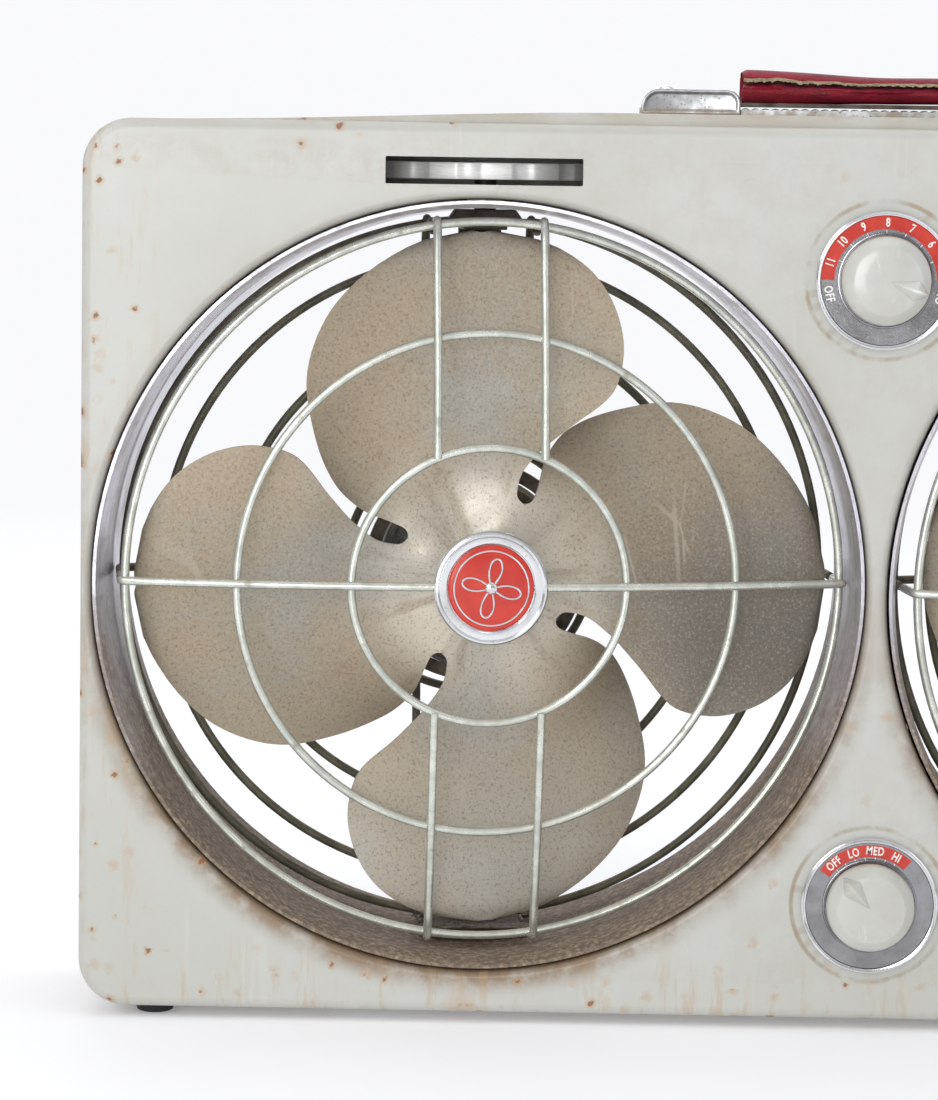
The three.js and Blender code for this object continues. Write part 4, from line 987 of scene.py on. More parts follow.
CROWN_INSET = 7 * MM
CROWN_END = 26 * MM
CROWN_FLAT = 92 * MM
REAR_LIP = 2.6 * MM
WHEEL_Z = middle_of("left_thumbwheel").z
SLOT_SIZE = Vector((70.3, 0, 9.7)) * MM


def case_solid(name):
    """The whole case as one solid, with round corners, soft edges and an arched top."""
    sizes = bpy.context.scene.ventilator_case
    top = SHELL_HIGH.z - sizes.crown
    case = block(name, (SHELL_LOW.x, FRONT_Y, SHELL_LOW.z), (SHELL_HIGH.x, BACK_Y, top))
    soften(case, sizes.corner, 14, lambda edge: abs(edge.verts[0].co.y - edge.verts[1].co.y) > sizes.corner)

    def on_a_face(edge):
        ends = [vert.co.y for vert in edge.verts]
        return max(ends) < FRONT_Y + TINY or min(ends) > BACK_Y - TINY

    soften(case, sizes.edge, 6, on_a_face)
    clear_selection()
    bpy.ops.mesh.primitive_grid_add(x_subdivisions=72, y_subdivisions=2, size=1)
    crown = named("crown")
    reach = SHELL_HIGH.x - CROWN_END
    crown.scale = (2 * reach, BACK_Y - FRONT_Y - 2 * CROWN_INSET, 1)
    crown.location = (0, MIDDLE_Y, top - sizes.crown)
    settle(crown)
    begin_edit(crown)
    bpy.ops.mesh.extrude_region_move(TRANSFORM_OT_translate={"value": (0, 0, sizes.crown)})
    mesh = bmesh.from_edit_mesh(crown.data)
    for vert in mesh.verts:
        if vert.select:
            ease = min(max((abs(vert.co.x) - CROWN_FLAT) / (reach - CROWN_FLAT), 0), 1)
            vert.co.z = top + sizes.crown * (1 - ease * ease * (3 - 2 * ease)) + 20 * TINY
            vert.co.z = min(vert.co.z, SHELL_HIGH.z)
    end_edit_outwards()
    return combined(case, crown, "UNION")


def opened_shell(name, hole, clear, lip_depth, seam, front):
    """One half of the case as a sheet, each opening's edge rolled inwards to its clear radius."""
    shell = case_solid(name)
    for side in SIDES:
        middle = PIVOT[side]
        start = Vector((middle.x, FRONT_Y - 0.02, middle.z))
        end = Vector((middle.x, BACK_Y + 0.02, middle.z))
        combined(shell, bar("bore tool", hole, start, end, HOLE_SIDES))
    begin_edit(shell)
    bpy.ops.mesh.bisect(plane_co=(0, seam, 0), plane_no=(0, 1, 0), clear_outer=front, clear_inner=not front)

    def reach_of(point):
        side = "left" if point.x < 0 else "right"
        return side, math.hypot(point.x - PIVOT[side].x, point.z - PIVOT[side].z)

    def in_tunnel(face):
        return abs(face.normal.y) < 0.6 and all(abs(reach_of(v.co)[1] - hole) < NEAR for v in face.verts)

    pick(shell, "faces", in_tunnel)
    bpy.ops.mesh.delete(type="FACE")
    face_y = FRONT_Y if front else BACK_Y
    inward = 1 if front else -1

    def at_rim(edge):
        near = all(abs(reach_of(v.co)[1] - hole) < NEAR for v in edge.verts)
        return edge.is_boundary and near and all(abs(v.co.y - face_y) < 6 * MM for v in edge.verts)

    pick(shell, "edges", at_rim)
    starts = {}
    mesh = bmesh.from_edit_mesh(shell.data)
    for vert in mesh.verts:
        if vert.select:
            side, reach = reach_of(vert.co)
            angle = math.atan2(vert.co.z - PIVOT[side].z, vert.co.x - PIVOT[side].x)
            starts[side, round(angle, 4)] = (reach, vert.co.y)
    last = face_y + inward * lip_depth
    steps = 6
    for step in range(1, steps + 2):
        bpy.ops.mesh.extrude_edges_move()
        mesh = bmesh.from_edit_mesh(shell.data)
        turn = math.pi / 2 * min(step / steps, 1)
        for vert in mesh.verts:
            if not vert.select:
                continue
            side, _ = reach_of(vert.co)
            angle = math.atan2(vert.co.z - PIVOT[side].z, vert.co.x - PIVOT[side].x)
            from_reach, from_y = starts[side, round(angle, 4)]
            reach = from_reach + (clear - from_reach) * math.sin(turn)
            y = from_y + (last - from_y) * (1 - math.cos(turn))
            if step > steps:
                y = last + inward * SHEET
            middle = PIVOT[side]
            vert.co = Vector((middle.x + reach * math.cos(angle), y, middle.z + reach * math.sin(angle)))
        bmesh.update_edit_mesh(shell.data)
    bpy.ops.mesh.select_all(action="SELECT")
    bpy.ops.mesh.remove_doubles(threshold=WELD)
    end_edit()
    return with_modifier(shell, "SOLIDIFY", thickness=SHEET, offset=-1, use_even_offset=True)


def face_weighted(piece):
    return with_modifier(piece, "WEIGHTED_NORMAL", keep_sharp=True, weight=60)


class VENTILATOR_OT_shells(bpy.types.Operator):
    """Adds the front and rear shells of the case"""

    bl_idname = "ventilator.add_shells"
    bl_label = "Case shells"

    def execute(self, context):
        sizes = context.scene.ventilator_case
        gap = 0.15 * MM
        front = opened_shell("front_shell_sheet", sizes.bore + sizes.lip, sizes.bore, sizes.lip, SEAM_Y, True)
        half = SLOT_SIZE / 2 + Vector((0, 10 * MM, 0))
        for side in SIDES:
            middle = Vector((PIVOT[side].x, FRONT_Y, WHEEL_Z))
            tool = soften(block("slot tool", middle - half, middle + half), 0.5 * MM, 2)
            combined(front, tool)
        for height in DIAL_HEIGHTS.values():
            place = Matrix.Translation((0, FRONT_Y, height))
            recess = [(0, -1), (29.6, -1), (29.2, -0.1), (28.2, 0.42), (0, 0.42)]
            combined(front, turned("recess tool", recess, 96, place))
            combined(front, turned("hole tool", [(0, -5), (5, -5), (5, 5), (0, 5)], 32, place))
        rear_hole = sizes.rear_bore + REAR_LIP
        rear = opened_shell("rear_shell_sheet", rear_hole, sizes.rear_bore, REAR_LIP, SEAM_Y + 2 * gap, False)
        place = Matrix.Translation(middle_of("cord_inlet"))
        combined(rear, turned("inlet tool", [(0, -9), (7.3, -9), (7.3, 9), (0, 9)], 32, place))
        for shell, node in ((front, "front_shell"), (rear, "rear_shell")):
            coated(shell, case_enamel())
            fitted(shell, "case", [node], 40)
            face_weighted(shell)
        return {"FINISHED"}


class VENTILATOR_OT_liners(bpy.types.Operator):
    """Adds the steel tunnel round each fan"""

    bl_idname = "ventilator.add_liners"
    bl_label = "Bore liners"

    def execute(self, context):
        sizes = context.scene.ventilator_case
        throat, tail = sizes.throat / MM, sizes.tail / MM
        half = (BACK_Y - FRONT_Y) / MM / 2 - 0.6
        flare = sizes.bore / MM - 1.8
        profile = [
            (flare, -half), (flare + 1.2, -half), (throat + 2, -half + 3), (throat + 1.2, -half + 7),
            (throat + 1.2, 12), (throat + 0.8, 20), (tail + 1.2, half), (tail, half),
            (throat - 0.4, 20), (throat, 12), (throat, -half + 7), (throat + 0.8, -half + 3),
        ]
        for side in SIDES:
            place = Matrix.Translation(PIVOT[side])
            liner = turned(f"{side}_bore_liner_sheet", profile, 160, place, closed=True)
            reach = Vector((0, 0, sizes.bore + 5 * MM))
            combined(liner, bar("bush tool", 7 * MM, PIVOT[side] - reach, PIVOT[side] + reach, 32))
            coated(liner, liner_steel())
            fitted(liner, "case", [f"{side}_bore_liner"], 30)
        return {"FINISHED"}


class VENTILATOR_OT_feet(bpy.types.Operator):
    """Adds the rubber feet and the cord inlet's grommet"""

    bl_idname = "ventilator.add_feet"
    bl_label = "Feet and cord inlet"

    def execute(self, context):
        stand = Matrix.Rotation(math.pi / 2, 4, "X")
        profile = [(0, 0.9), (2.2, 0.9), (2.6, 0.25), (3.4, 0), (5.9, 0), (6.5, 0.35), (7.3, 2.6),
                   (7.5, 3.3), (7.2, 3.7), (3, 3.7), (3, 8.2), (0, 8.2)]
        foot = turned("foot", profile, 40, stand)
        for name in ("front_left", "front_right", "rear_left", "rear_right"):
            middle = middle_of(f"{name}_foot")
            place = Matrix.Translation((middle.x, middle.y, 0))
            rubber = coated(copied(foot, f"{name}_foot_rubber", place), black_rubber())
            fitted(rubber, "case", [f"{name}_foot"])
        bpy.data.objects.remove(foot)
        middle = middle_of("cord_inlet")
        back = (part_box("cord_inlet")[1].y - 0.2 * MM - BACK_Y) / MM
        grommet = [(3.6, -3.9), (9, -3.9), (9.5, -3.4), (9.5, -2.1), (7, -1.7), (7, 0.2), (9.2, 0.3),
                   (9.5, 0.9), (9, 1.5), (7.6, 2.6), (7, back),
                   (6.4, back + 0.2), (4.2, back + 0.2), (3.6, back - 0.3)]
        place = Matrix.Translation((middle.x, BACK_Y, middle.z))
        inlet = coated(turned("cord_inlet_grommet", grommet, 48, place, closed=True), black_rubber())
        fitted(inlet, "case", ["cord_inlet"])
        return {"FINISHED"}


# ---- Fan heads ----


def dome(radius, edge, rise):
    ring = bpy.context.scene.ventilator_fan.ring
    return edge + rise * (1 - (radius / ring) ** 2)


def guard(name, rings, edge, rise, uprights_from, levels_from):
    """A dished guard of wire rings, four upright wires and two level ones that run on to the side."""
    sizes = bpy.context.scene.ventilator_fan
    out = -1 if edge < 0 else 1
    lap = out * 0.62 * sizes.wire
    pieces = [ring_wire("ring", sizes.ring, edge, sizes.wire)]
    for radius in rings:
        pieces.append(ring_wire("ring", radius, dome(radius, edge, rise), sizes.wire))
    for up in (-1, 1):
        for across in (-1, 1):
            x = across * sizes.bar_offset
            start = math.sqrt(uprights_from**2 - x**2)
            end = math.sqrt(sizes.ring**2 - x**2)
            points = []
            for step in range(9):
                z = start + (end - 1.2 * MM - start) * step / 8
                points.append((x, dome(math.hypot(x, z), edge, rise) + lap, up * z))
            points.append((x, edge + 0.45 * lap, up * (end + 1.5 * MM)))
            points.append((x, edge - 0.9 * lap, up * (end + 1.5 * MM)))
            pieces.append(wire("upright", points, sizes.wire / 2, 10))
    for across in (-1, 1):
        points = []
        for step in range(10):
            x = levels_from + (sizes.ring - 1.4 * MM - levels_from) * step / 9
            points.append((across * x, dome(x, edge, rise) + lap, 0))
        points.append((across * (sizes.ring + 1 * MM), edge + 0.5 * lap, 0))
        points.append((across * (sizes.ring + 1.25 * MM), edge - out * 3 * MM, 0))
        points.append((across * (sizes.ring + 1.35 * MM), edge - out * 18 * MM, 0))
        pieces.append(wire("level", points, sizes.wire / 2, 10))
    return joined(name, pieces)


class VENTILATOR_OT_guards(bpy.types.Operator):
    """Adds the front and rear wire guards of both fans"""

    bl_idname = "ventilator.add_guards"
    bl_label = "Wire guards"

    def execute(self, context):
        sizes = context.scene.ventilator_fan
        rings = (91 * MM, 50 * MM)
        front = guard("front guard", rings, -sizes.ring_offset, -sizes.front_dome, rings[-1], 15 * MM)
        coated(front, zinc_wire())
        on_both_heads(front, "front_guard_wires", "front_guard", angle=50)
        rings = (117 * MM, 90 * MM, 47 * MM)
        rear = guard("rear guard", rings, sizes.ring_offset, sizes.rear_dome, rings[-1], rings[-1])
        coated(rear, dark_wire())
        on_both_heads(rear, "rear_guard_wires", "rear_guard", angle=50)
        return {"FINISHED"}


# A blade's two edges: shares of the radius, and degrees round from the blade's middle line.
BLADE_PLANE = -8 * MM
HUB_EDGE = 0.246
LEADING_EDGE = (
    (0.02, 57), (HUB_EDGE, 57), (0.252, 54.4), (0.268, 52.6), (0.3, 53.4), (0.38, 56), (0.46, 54.6),
    (0.53, 51), (0.65, 43.5), (0.77, 36), (0.875, 26), (0.93, 18), (0.97, 10), (0.992, 4), (1, -2),
)
TRAILING_EDGE = (
    (0.02, -33), (HUB_EDGE, -33), (0.252, -29), (0.268, -26.4), (0.32, -24.8), (0.4, -28), (0.5, -33),
    (0.64, -38), (0.75, -36), (0.85, -31), (0.93, -24.5), (0.97, -18.5), (0.992, -12), (1, -6),
)


def edge_angle(edge, share):
    """An edge's angle at a share of the radius, eased between its points by their neighbours' slopes."""
    for i in range(len(edge) - 1):
        if share <= edge[i + 1][0] or i == len(edge) - 2:
            break
    before, after = edge[i], edge[i + 1]
    span = after[0] - before[0]

    def slope(k):
        if k <= 1 or k >= len(edge) - 1:
            return 0 if k <= 1 else (edge[k][1] - edge[k - 1][1]) / (edge[k][0] - edge[k - 1][0])
        return (edge[k + 1][1] - edge[k - 1][1]) / (edge[k + 1][0] - edge[k - 1][0])

    t = min(max((share - before[0]) / span, 0), 1)
    eased = (2 * t**3 - 3 * t**2 + 1) * before[1] + (3 * t**2 - 2 * t**3) * after[1]
    eased += (t**3 - 2 * t**2 + t) * span * slope(i) + (t**3 - t**2) * span * slope(i + 1)
    return math.radians(eased)


def eased(value, low, high):
    t = min(max((value - low) / (high - low), 0), 1)
    return t * t * (3 - 2 * t)


def sheet_height(radius, angle, across):
    """How far the pressed sheet stands behind the blade plane: twist, camber, hub dish and creases."""
    sizes = bpy.context.scene.ventilator_fan
    twist = sizes.twist * angle * eased(radius, 0.25 * sizes.blade, 0.58 * sizes.blade)
    camber = -2.6 * MM * 4 * across * (1 - across) * eased(radius, 36 * MM, 74 * MM)
    dish = -2.2 * MM * (1 - eased(radius, 12 * MM, 30 * MM))
    crease = 2.1 * MM * math.cos(4 * (angle - math.radians(14))) * eased(radius, 10 * MM, 24 * MM)
    crease *= 1 - eased(radius, 34 * MM, 62 * MM)
    return twist + camber + dish + crease


def blade_sheet():
    """One quarter of the propeller, from the shaft hole to a blade's tip."""
    sizes = bpy.context.scene.ventilator_fan
    columns, rows = 34, 76
    clear_selection()
    bpy.ops.mesh.primitive_grid_add(x_subdivisions=columns, y_subdivisions=rows, size=2)
    piece = named("blade")
    hole = 3.3 * MM / sizes.blade
    hub_rows = 0.28
    for vert in piece.data.vertices:
        across, along = (vert.co.x + 1) / 2, (vert.co.y + 1) / 2
        if along < hub_rows:
            share = hole + (HUB_EDGE - hole) * along / hub_rows
        else:
            beyond = (along - hub_rows) / (1 - hub_rows)
            crowded = 0.5 * beyond**1.6 + 0.5 * math.sin(beyond * math.pi / 2) ** 1.6
            share = HUB_EDGE + (1 - HUB_EDGE) * crowded
        radius = sizes.blade * share
        first, last = edge_angle(LEADING_EDGE, share), edge_angle(TRAILING_EDGE, share)
        angle = first + (last - first) * across
        y = BLADE_PLANE + sheet_height(radius, angle, across)
        vert.co = Vector((-radius * math.sin(angle), y, radius * math.cos(angle)))
    return piece


class VENTILATOR_OT_propellers(bpy.types.Operator):
    """Adds the pressed four-blade propellers"""

    bl_idname = "ventilator.add_propellers"
    bl_label = "Propellers"

    def execute(self, context):
        sizes = context.scene.ventilator_fan
        blade = blade_sheet()
        blades = [blade]
        for quarter in (1, 2, 3):
            blades.append(copied(blade, "blade copy", Matrix.Rotation(quarter * math.pi / 2, 4, "Y")))
        sheet = joined("propeller", blades)
        begin_edit(sheet)
        bpy.ops.mesh.remove_doubles(threshold=20 * TINY)
        bpy.ops.mesh.normals_make_consistent(inside=False)
        end_edit()
        with_modifier(sheet, "SOLIDIFY", thickness=sizes.sheet, offset=0, use_even_offset=False)
        coated(weld(sheet), dusty_blade())
        phases = {"left": math.radians(-5), "right": math.radians(5)}
        on_both_heads(sheet, "propeller_sheet", "propeller", "blades", phases, 40)
        return {"FINISHED"}


def slotted(piece, count, inner, outer, width, front, back):
    """Cuts a ring of radial slots through a turned piece, sizes in millimetres."""
    slots = []
    for i in range(count):
        slot = block("slot", Vector((-width / 2, front, inner)) * MM, Vector((width / 2, back, outer)) * MM)
        soften(slot, 0.45 * width * MM, 4, lambda edge: abs(edge.verts[0].co.y - edge.verts[1].co.y) > MM)
        slot.data.transform(Matrix.Rotation(2 * math.pi * (i + 0.5) / count, 4, "Y"))
        slots.append(slot)
    return combined(piece, joined("slots", slots))


class VENTILATOR_OT_motors(bpy.types.Operator):
    """Adds the motors, their yokes, shafts and collars"""

    bl_idname = "ventilator.add_motors"
    bl_label = "Motors"

    def execute(self, context):
        outer = context.scene.ventilator_fan.motor / MM
        wall = outer - 2
        bell = [(3.3, 3), (10.5, 3), (11.6, 3.5), (12, 4.8), (26, 5.2), (31, 6.4), (34.4, 8.8), (outer, 12.4),
                (outer, 14.6), (outer - 0.4, 15.2), (wall, 15.2), (wall, 13), (32.6, 10.6), (29.6, 8.4),
                (25, 7.2), (11, 7), (9, 10), (3.3, 10)]
        front = slotted(turned("front bell", bell, 72, closed=True), 8, 16, 26.5, 4.4, 2, 9)
        coated(front, motor_paint())
        on_both_heads(front, "motor_front_bell_cup", "motor_front_bell", angle=30)
        cap = [(0, 36.9), (5.5, 36.8), (7.6, 36.2), (8.4, 35.2), (12.2, 35), (12.8, 34.6), (26, 34.2),
               (31, 33.4), (34.4, 31), (outer, 27.4), (outer, 25.4), (outer - 0.4, 24.8), (wall, 24.8),
               (wall, 27), (32.4, 29.2), (29.4, 31.4), (25, 32.4), (10, 32.8), (0, 33)]
        rear = slotted(turned("rear bell", cap, 72), 8, 16, 26.5, 4.4, 31, 38)
        bolts = []
        for i in range(4):
            angle = math.radians(45 + 90 * i)
            x, z = 29 * math.sin(angle) * MM, 29 * math.cos(angle) * MM
            bolts.append(soften(bar("bolt", 2.6 * MM, (x, 31 * MM, z), (x, 36 * MM, z), 6), 0.3 * MM, 2))
        rear = coated(joined("rear bell", [rear, *bolts]), motor_paint())
        on_both_heads(rear, "motor_rear_bell_cup", "motor_rear_bell", angle=30)
        stack = [(17.6, 15.5), (outer - 0.5, 15.5), (outer, 16), (outer, 24), (outer - 0.5, 24.5),
                 (17.6, 24.5)]
        stator = coated(turned("stator", stack, 72, closed=True), laminations())
        on_both_heads(stator, "motor_stator_stack", "motor_stator", angle=30)
        core = [(3.3, 14.5), (16.4, 14.5), (17, 15.1), (17, 24.9), (16.4, 25.5), (3.3, 25.5)]
        rotor = coated(turned("rotor", core, 48, closed=True), laminations())
        on_both_heads(rotor, "rotor_core", "rotor", "blades")
        rod = [(0, -20), (2.4, -20), (3, -19.4), (3, 34.4), (2.4, 35), (0, 35)]
        shaft = coated(turned("shaft", rod, 32), dull_steel())
        on_both_heads(shaft, "motor_shaft_rod", "motor_shaft", "blades")
        hub = [(3.3, -16.9), (6.4, -16.9), (7.2, -16.3), (7.8, -13), (9, -11.6), (10.6, -11), (11, -10.5),
               (11, -10.6), (11, -10.3), (3.3, -10.3)]
        collar = coated(turned("collar", hub, 48, closed=True), dull_steel())
        on_both_heads(collar, "hub_collar_boss", "hub_collar", "blades")
        yoke = coated(self.yoke(), dull_steel())
        on_both_heads(yoke, "motor_yoke_arms", "motor_yoke", angle=30)
        return {"FINISHED"}

    def yoke(self):
        """A hoop round the stator with two arms, each with its end bent forwards."""
        reach, plane_front, plane_back = 129.73, 17.1, 19.1  # the yoke's ends, and its arms' two faces
        hoop = [(36.6, 17.2), (41.4, 17.2), (41.6, 18.1), (41.4, 19), (36.6, 19)]
        pieces = [turned("hoop", hoop, 72, closed=True)]
        for up in (-1, 1):
            ends = sorted((up * 39 * MM, up * reach * MM))
            arm = block("arm", (-8 * MM, plane_front * MM, ends[0]), (8 * MM, plane_back * MM, ends[1]))
            pieces.append(soften(arm, 0.5 * MM, 2))
            ends = sorted((up * (reach - 2) * MM, up * reach * MM))
            tab = block("tab", (-8 * MM, -4 * MM, ends[0]), (8 * MM, plane_back * MM, ends[1]))
            pieces.append(soften(tab, 0.5 * MM, 2))
            rib = bar("rib", 1.6 * MM, (0, 18.2 * MM, up * 46 * MM), (0, 18.2 * MM, up * 120 * MM), 16)
            pieces.append(rib)
        return joined("yoke", pieces)


def pivot_bracket(stem_end):
    """A bracket above a fan: plate, tapered boss, two hooked prongs and the pivot stem."""
    low, high = 130.03 * MM, 131.83 * MM
    plate = soften(block("plate", (-20 * MM, -9 * MM, low), (20 * MM, 9 * MM, high)), 0.5 * MM, 2)
    boss = block("boss", (-13.6 * MM, -7 * MM, high - 0.6 * MM), (13.6 * MM, 7 * MM, high + 3.3 * MM))
    begin_edit(boss)
    pick(boss, "faces", lambda face: face.normal.z > 0.9)
    bpy.ops.transform.resize(value=(0.8, 0.86, 1), center_override=(0, 0, high))
    end_edit()
    pieces = [plate, soften(boss, 0.4 * MM, 2)]
    for across in (-1, 1):
        x = across * 19.1 * MM
        points = [(x, -1 * MM, high - 0.9 * MM), (x * 1.01, -1 * MM, high - 3 * MM),
                  (x * 0.985, -2.2 * MM, high - 5.4 * MM)]
        pieces.append(wire("prong", points, 1.5 * MM, 12))
        pieces.append(bar("peg", 2.1 * MM, (x, -4.6 * MM, high - 1.9 * MM), (x, 4 * MM, high - 1.9 * MM), 20))
    pieces.append(soften(bar("stem", 4 * MM, (0, 0, low), (0, 0, stem_end), 36), 0.3 * MM, 2))
    return joined("bracket", pieces)


def lint_mat():
    """A ragged mat of lint that has settled on a lower bracket."""
    clear_selection()
    bpy.ops.mesh.primitive_grid_add(x_subdivisions=64, y_subdivisions=30, size=2)
    mat = named("lint")
    for vert in mat.data.vertices:
        x, y = vert.co.x, vert.co.y
        ragged = 1 + 0.16 * noise.noise(Vector((x * 5, y * 5, 3.1)))
        rim = max(1 - (abs(x) ** 3 + abs(y) ** 3), 0) ** 0.5
        tuft = 0.55 + 0.45 * noise.turbulence(Vector((x * 9, y * 5, 0.4)), 3, False)
        lift = 2.1 * MM * rim * tuft
        vert.co = Vector((x * ragged * 21 * MM, y * ragged * 12.5 * MM, -129.95 * MM + lift))
    return with_modifier(mat, "SOLIDIFY", thickness=0.3 * MM, offset=-1)


class VENTILATOR_OT_pivots(bpy.types.Operator):
    """Adds the pivot brackets, the lint on the lower ones and the thumbwheels"""

    bl_idname = "ventilator.add_pivots"
    bl_label = "Pivots and thumbwheels"

    def execute(self, context):
        upper = coated(pivot_bracket(152.25 * MM), dull_steel())
        on_both_heads(upper, "upper_pivot_bracket", "upper_pivot", angle=30)
        lower = pivot_bracket(143.2 * MM)
        lower.data.transform(Matrix.Rotation(math.pi, 4, "Y"))
        coated(lower, dull_steel())
        on_both_heads(lower, "lower_pivot_bracket", "lower_pivot", angle=30)
        lint = coated(lint_mat(), matted_lint())
        remember_home(lint)
        for side in SIDES:
            fitted(copied(lint, f"{side}_lint_mat", head_place(side)), f"{side}_head", (), 60)
        bpy.data.objects.remove(lint)
        wheel = self.thumbwheel()
        coated(wheel, satin_zinc_painted_glow())
        on_both_heads(wheel, "thumbwheel_disc", "thumbwheel", angle=24)
        return {"FINISHED"}

    def thumbwheel(self):
        """A wheel whose rim has twelve shallow finger flutes."""
        radius, flute, depth, flutes = 38.0, 7.6, 1.6, 12
        height = (WHEEL_Z - PIVOT["left"].z) / MM
        half = 3.05
        profile = [(4.3, height - half), (11, height - half), (11.5, height - half + 0.5),
                   (30, height - half + 0.5), (30.6, height - half), (radius - 0.5, height - half),
                   (radius - 0.12, height - half + 0.14), (radius, height - half + 0.5),
                   (radius, height + half - 0.5), (radius - 0.12, height + half - 0.14),
                   (radius - 0.5, height + half), (30.6, height + half), (30, height + half - 0.5),
                   (11.5, height + half - 0.5), (11, height + half), (4.3, height + half)]
        wheel = turned("thumbwheel", profile, 360, Matrix.Rotation(math.pi / 2, 4, "X"), closed=True)
        middle = radius + flute - depth
        for vert in wheel.data.vertices:
            reach = math.hypot(vert.co.x, vert.co.y) / MM
            if reach < radius - 1:
                continue
            turn = math.atan2(vert.co.x, vert.co.y)
            share = turn / (2 * math.pi / flutes)
            off = (share - math.floor(share) - 0.5) * 2 * math.pi / flutes
            side = middle * math.sin(off)
            if abs(side) < flute:
                rim = min(middle * math.cos(off) - math.sqrt(flute**2 - side**2), radius)
                scale = (reach - (radius - rim)) / reach
                vert.co.x *= scale
                vert.co.y *= scale
        return wheel


class VENTILATOR_OT_badges(bpy.types.Operator):
    """Adds the round badge in the middle of each guard"""

    bl_idname = "ventilator.add_badges"
    bl_label = "Badges"

    def execute(self, context):
        rim = [(0, -40.9), (15.9, -40.9), (15.9, -42.7), (16.3, -43.05), (18.2, -43.15), (18.7, -43.1),
               (19, -43.35), (19.5, -43.65), (20.1, -43.5), (20.6, -42.9), (20.75, -42), (20.75, -40.4),
               (20.4, -39.7), (0, -39.7)]
        rim = coated(turned("badge rim", rim, 96), bright_plate())
        on_both_heads(rim, "badge_rim_ring", "badge_rim", angle=25)
        disc = [(0, -43.05), (9, -43.02), (13, -42.92), (15, -42.7), (15.6, -42.3), (15.6, -41.2), (0, -41.2)]
        disc = coated(turned("badge disc", disc, 96), scale_red())
        on_both_heads(disc, "badge_disc_enamel", "badge_disc", angle=25)
        pieces = [ring_wire("ring", 13.5 * MM, -43 * MM, 0.75 * MM, 8, 96)]
        for i in range(4):
            points = []
            for step in range(13):
                share = step / 12
                angle = math.radians(90 * i - 14 + 52 * share)
                reach = (2.2 + 8.6 * math.sin(math.pi * share) ** 0.7) * MM
                points.append((reach * math.sin(angle), -43.15 * MM, reach * math.cos(angle)))
            pieces.append(wire("petal", points, 0.42 * MM, 8))
        pieces.append(turned("boss", [(0, -43.6), (1.2, -43.55), (2, -43.2), (2.2, -42.9), (0, -42.9)], 32))
        motif = coated(joined("motif", pieces), bright_plate())
        remember_home(motif)
        for side in SIDES:
            fitted(copied(motif, f"{side}_badge_motif", head_place(side)), f"{side}_head")
        bpy.data.objects.remove(motif)
        return {"FINISHED"}


# ---- Dials ----

FACE_Y = -1.7
TICK_STEPS = 8
POINTERS = {"thermostat": math.radians(-18), "speed": math.radians(132)}
BANDS = {"thermostat": (0, 180, 18.2, 22.9), "speed": (48, 145, 17.8, 22.2)}
FIGURES = {
    "thermostat": (("11", 162.5), ("10", 139), ("9", 113.5), ("8", 89), ("7", 64), ("6", 39.5), ("5", 15),
                   ("OFF", 194), ("ON", -16)),
    "speed": (("OFF", 131), ("LO", 108), ("MED", 85.5), ("HI", 62.5)),
}


def scale_band(name, start, end, inner, outer):
    """A raised arc of enamel on a dial's face, in degrees and millimetres."""
    clear_selection()
    bpy.ops.mesh.primitive_grid_add(x_subdivisions=72, y_subdivisions=1, size=2)
    band = named(name)
    for vert in band.data.vertices:
        angle = math.radians(start + (end - start) * (vert.co.x + 1) / 2)
        reach = (inner + (outer - inner) * (vert.co.y + 1) / 2) * MM
        vert.co = Vector((reach * math.cos(angle), FACE_Y * MM, reach * math.sin(angle)))
    begin_edit(band)
    bpy.ops.mesh.extrude_region_move(TRANSFORM_OT_translate={"value": (0, -0.12 * MM, 0)})
    end_edit_outwards()
    return band


def knob(name, turn):
    """A round knob with a wedge-shaped pointer from its middle to its rim."""
    skirt = [(0, -11.6), (7, -11.55), (11.6, -11.35), (12.1, -11.2), (12.5, -10.9), (14.9, -8.4),
             (15.4, -7.8), (15.8, -7), (15.8, -3.7), (15.4, -3.3), (14, -3.2), (0, -3.2)]
    body = turned(name, skirt, 96)
    clear_selection()
    bpy.ops.mesh.primitive_circle_add(vertices=4, radius=1, fill_type="NGON", rotation=(math.pi / 2, 0, 0))
    wedge = settle(named("pointer"))
    foot = [(0.2, 0), (10.7, 3.9), (15.5, 0), (10.7, -3.9)]
    crest = [(1.2, 0, -11.9), (10.6, 0.5, -14.6), (14.6, 0, -15), (10.6, -0.5, -14.6)]
    corners = sorted(wedge.data.vertices, key=lambda vert: math.atan2(vert.co.z, -vert.co.x))
    for vert, (x, z) in zip(corners, foot):
        vert.co = Vector((x * MM, -8.2 * MM, z * MM))
    begin_edit(wedge)
    bpy.ops.mesh.extrude_region_move(TRANSFORM_OT_translate={"value": (0, -3.2 * MM, 0)})
    bpy.ops.mesh.extrude_region_move()
    mesh = bmesh.from_edit_mesh(wedge.data)
    for vert in mesh.verts:
        if vert.select:
            here = Vector((vert.co.x, vert.co.z)) / MM
            nearest = min(range(4), key=lambda i: (here - Vector(foot[i])).length)
            x, z, y = crest[nearest]
            vert.co = Vector((x, y, z)) * MM
    end_edit_outwards()
    soften(wedge, 0.35 * MM, 3)
    combined(body, wedge, "UNION")
    body.data.transform(Matrix.Rotation(-turn, 4, "Y"))
    return body


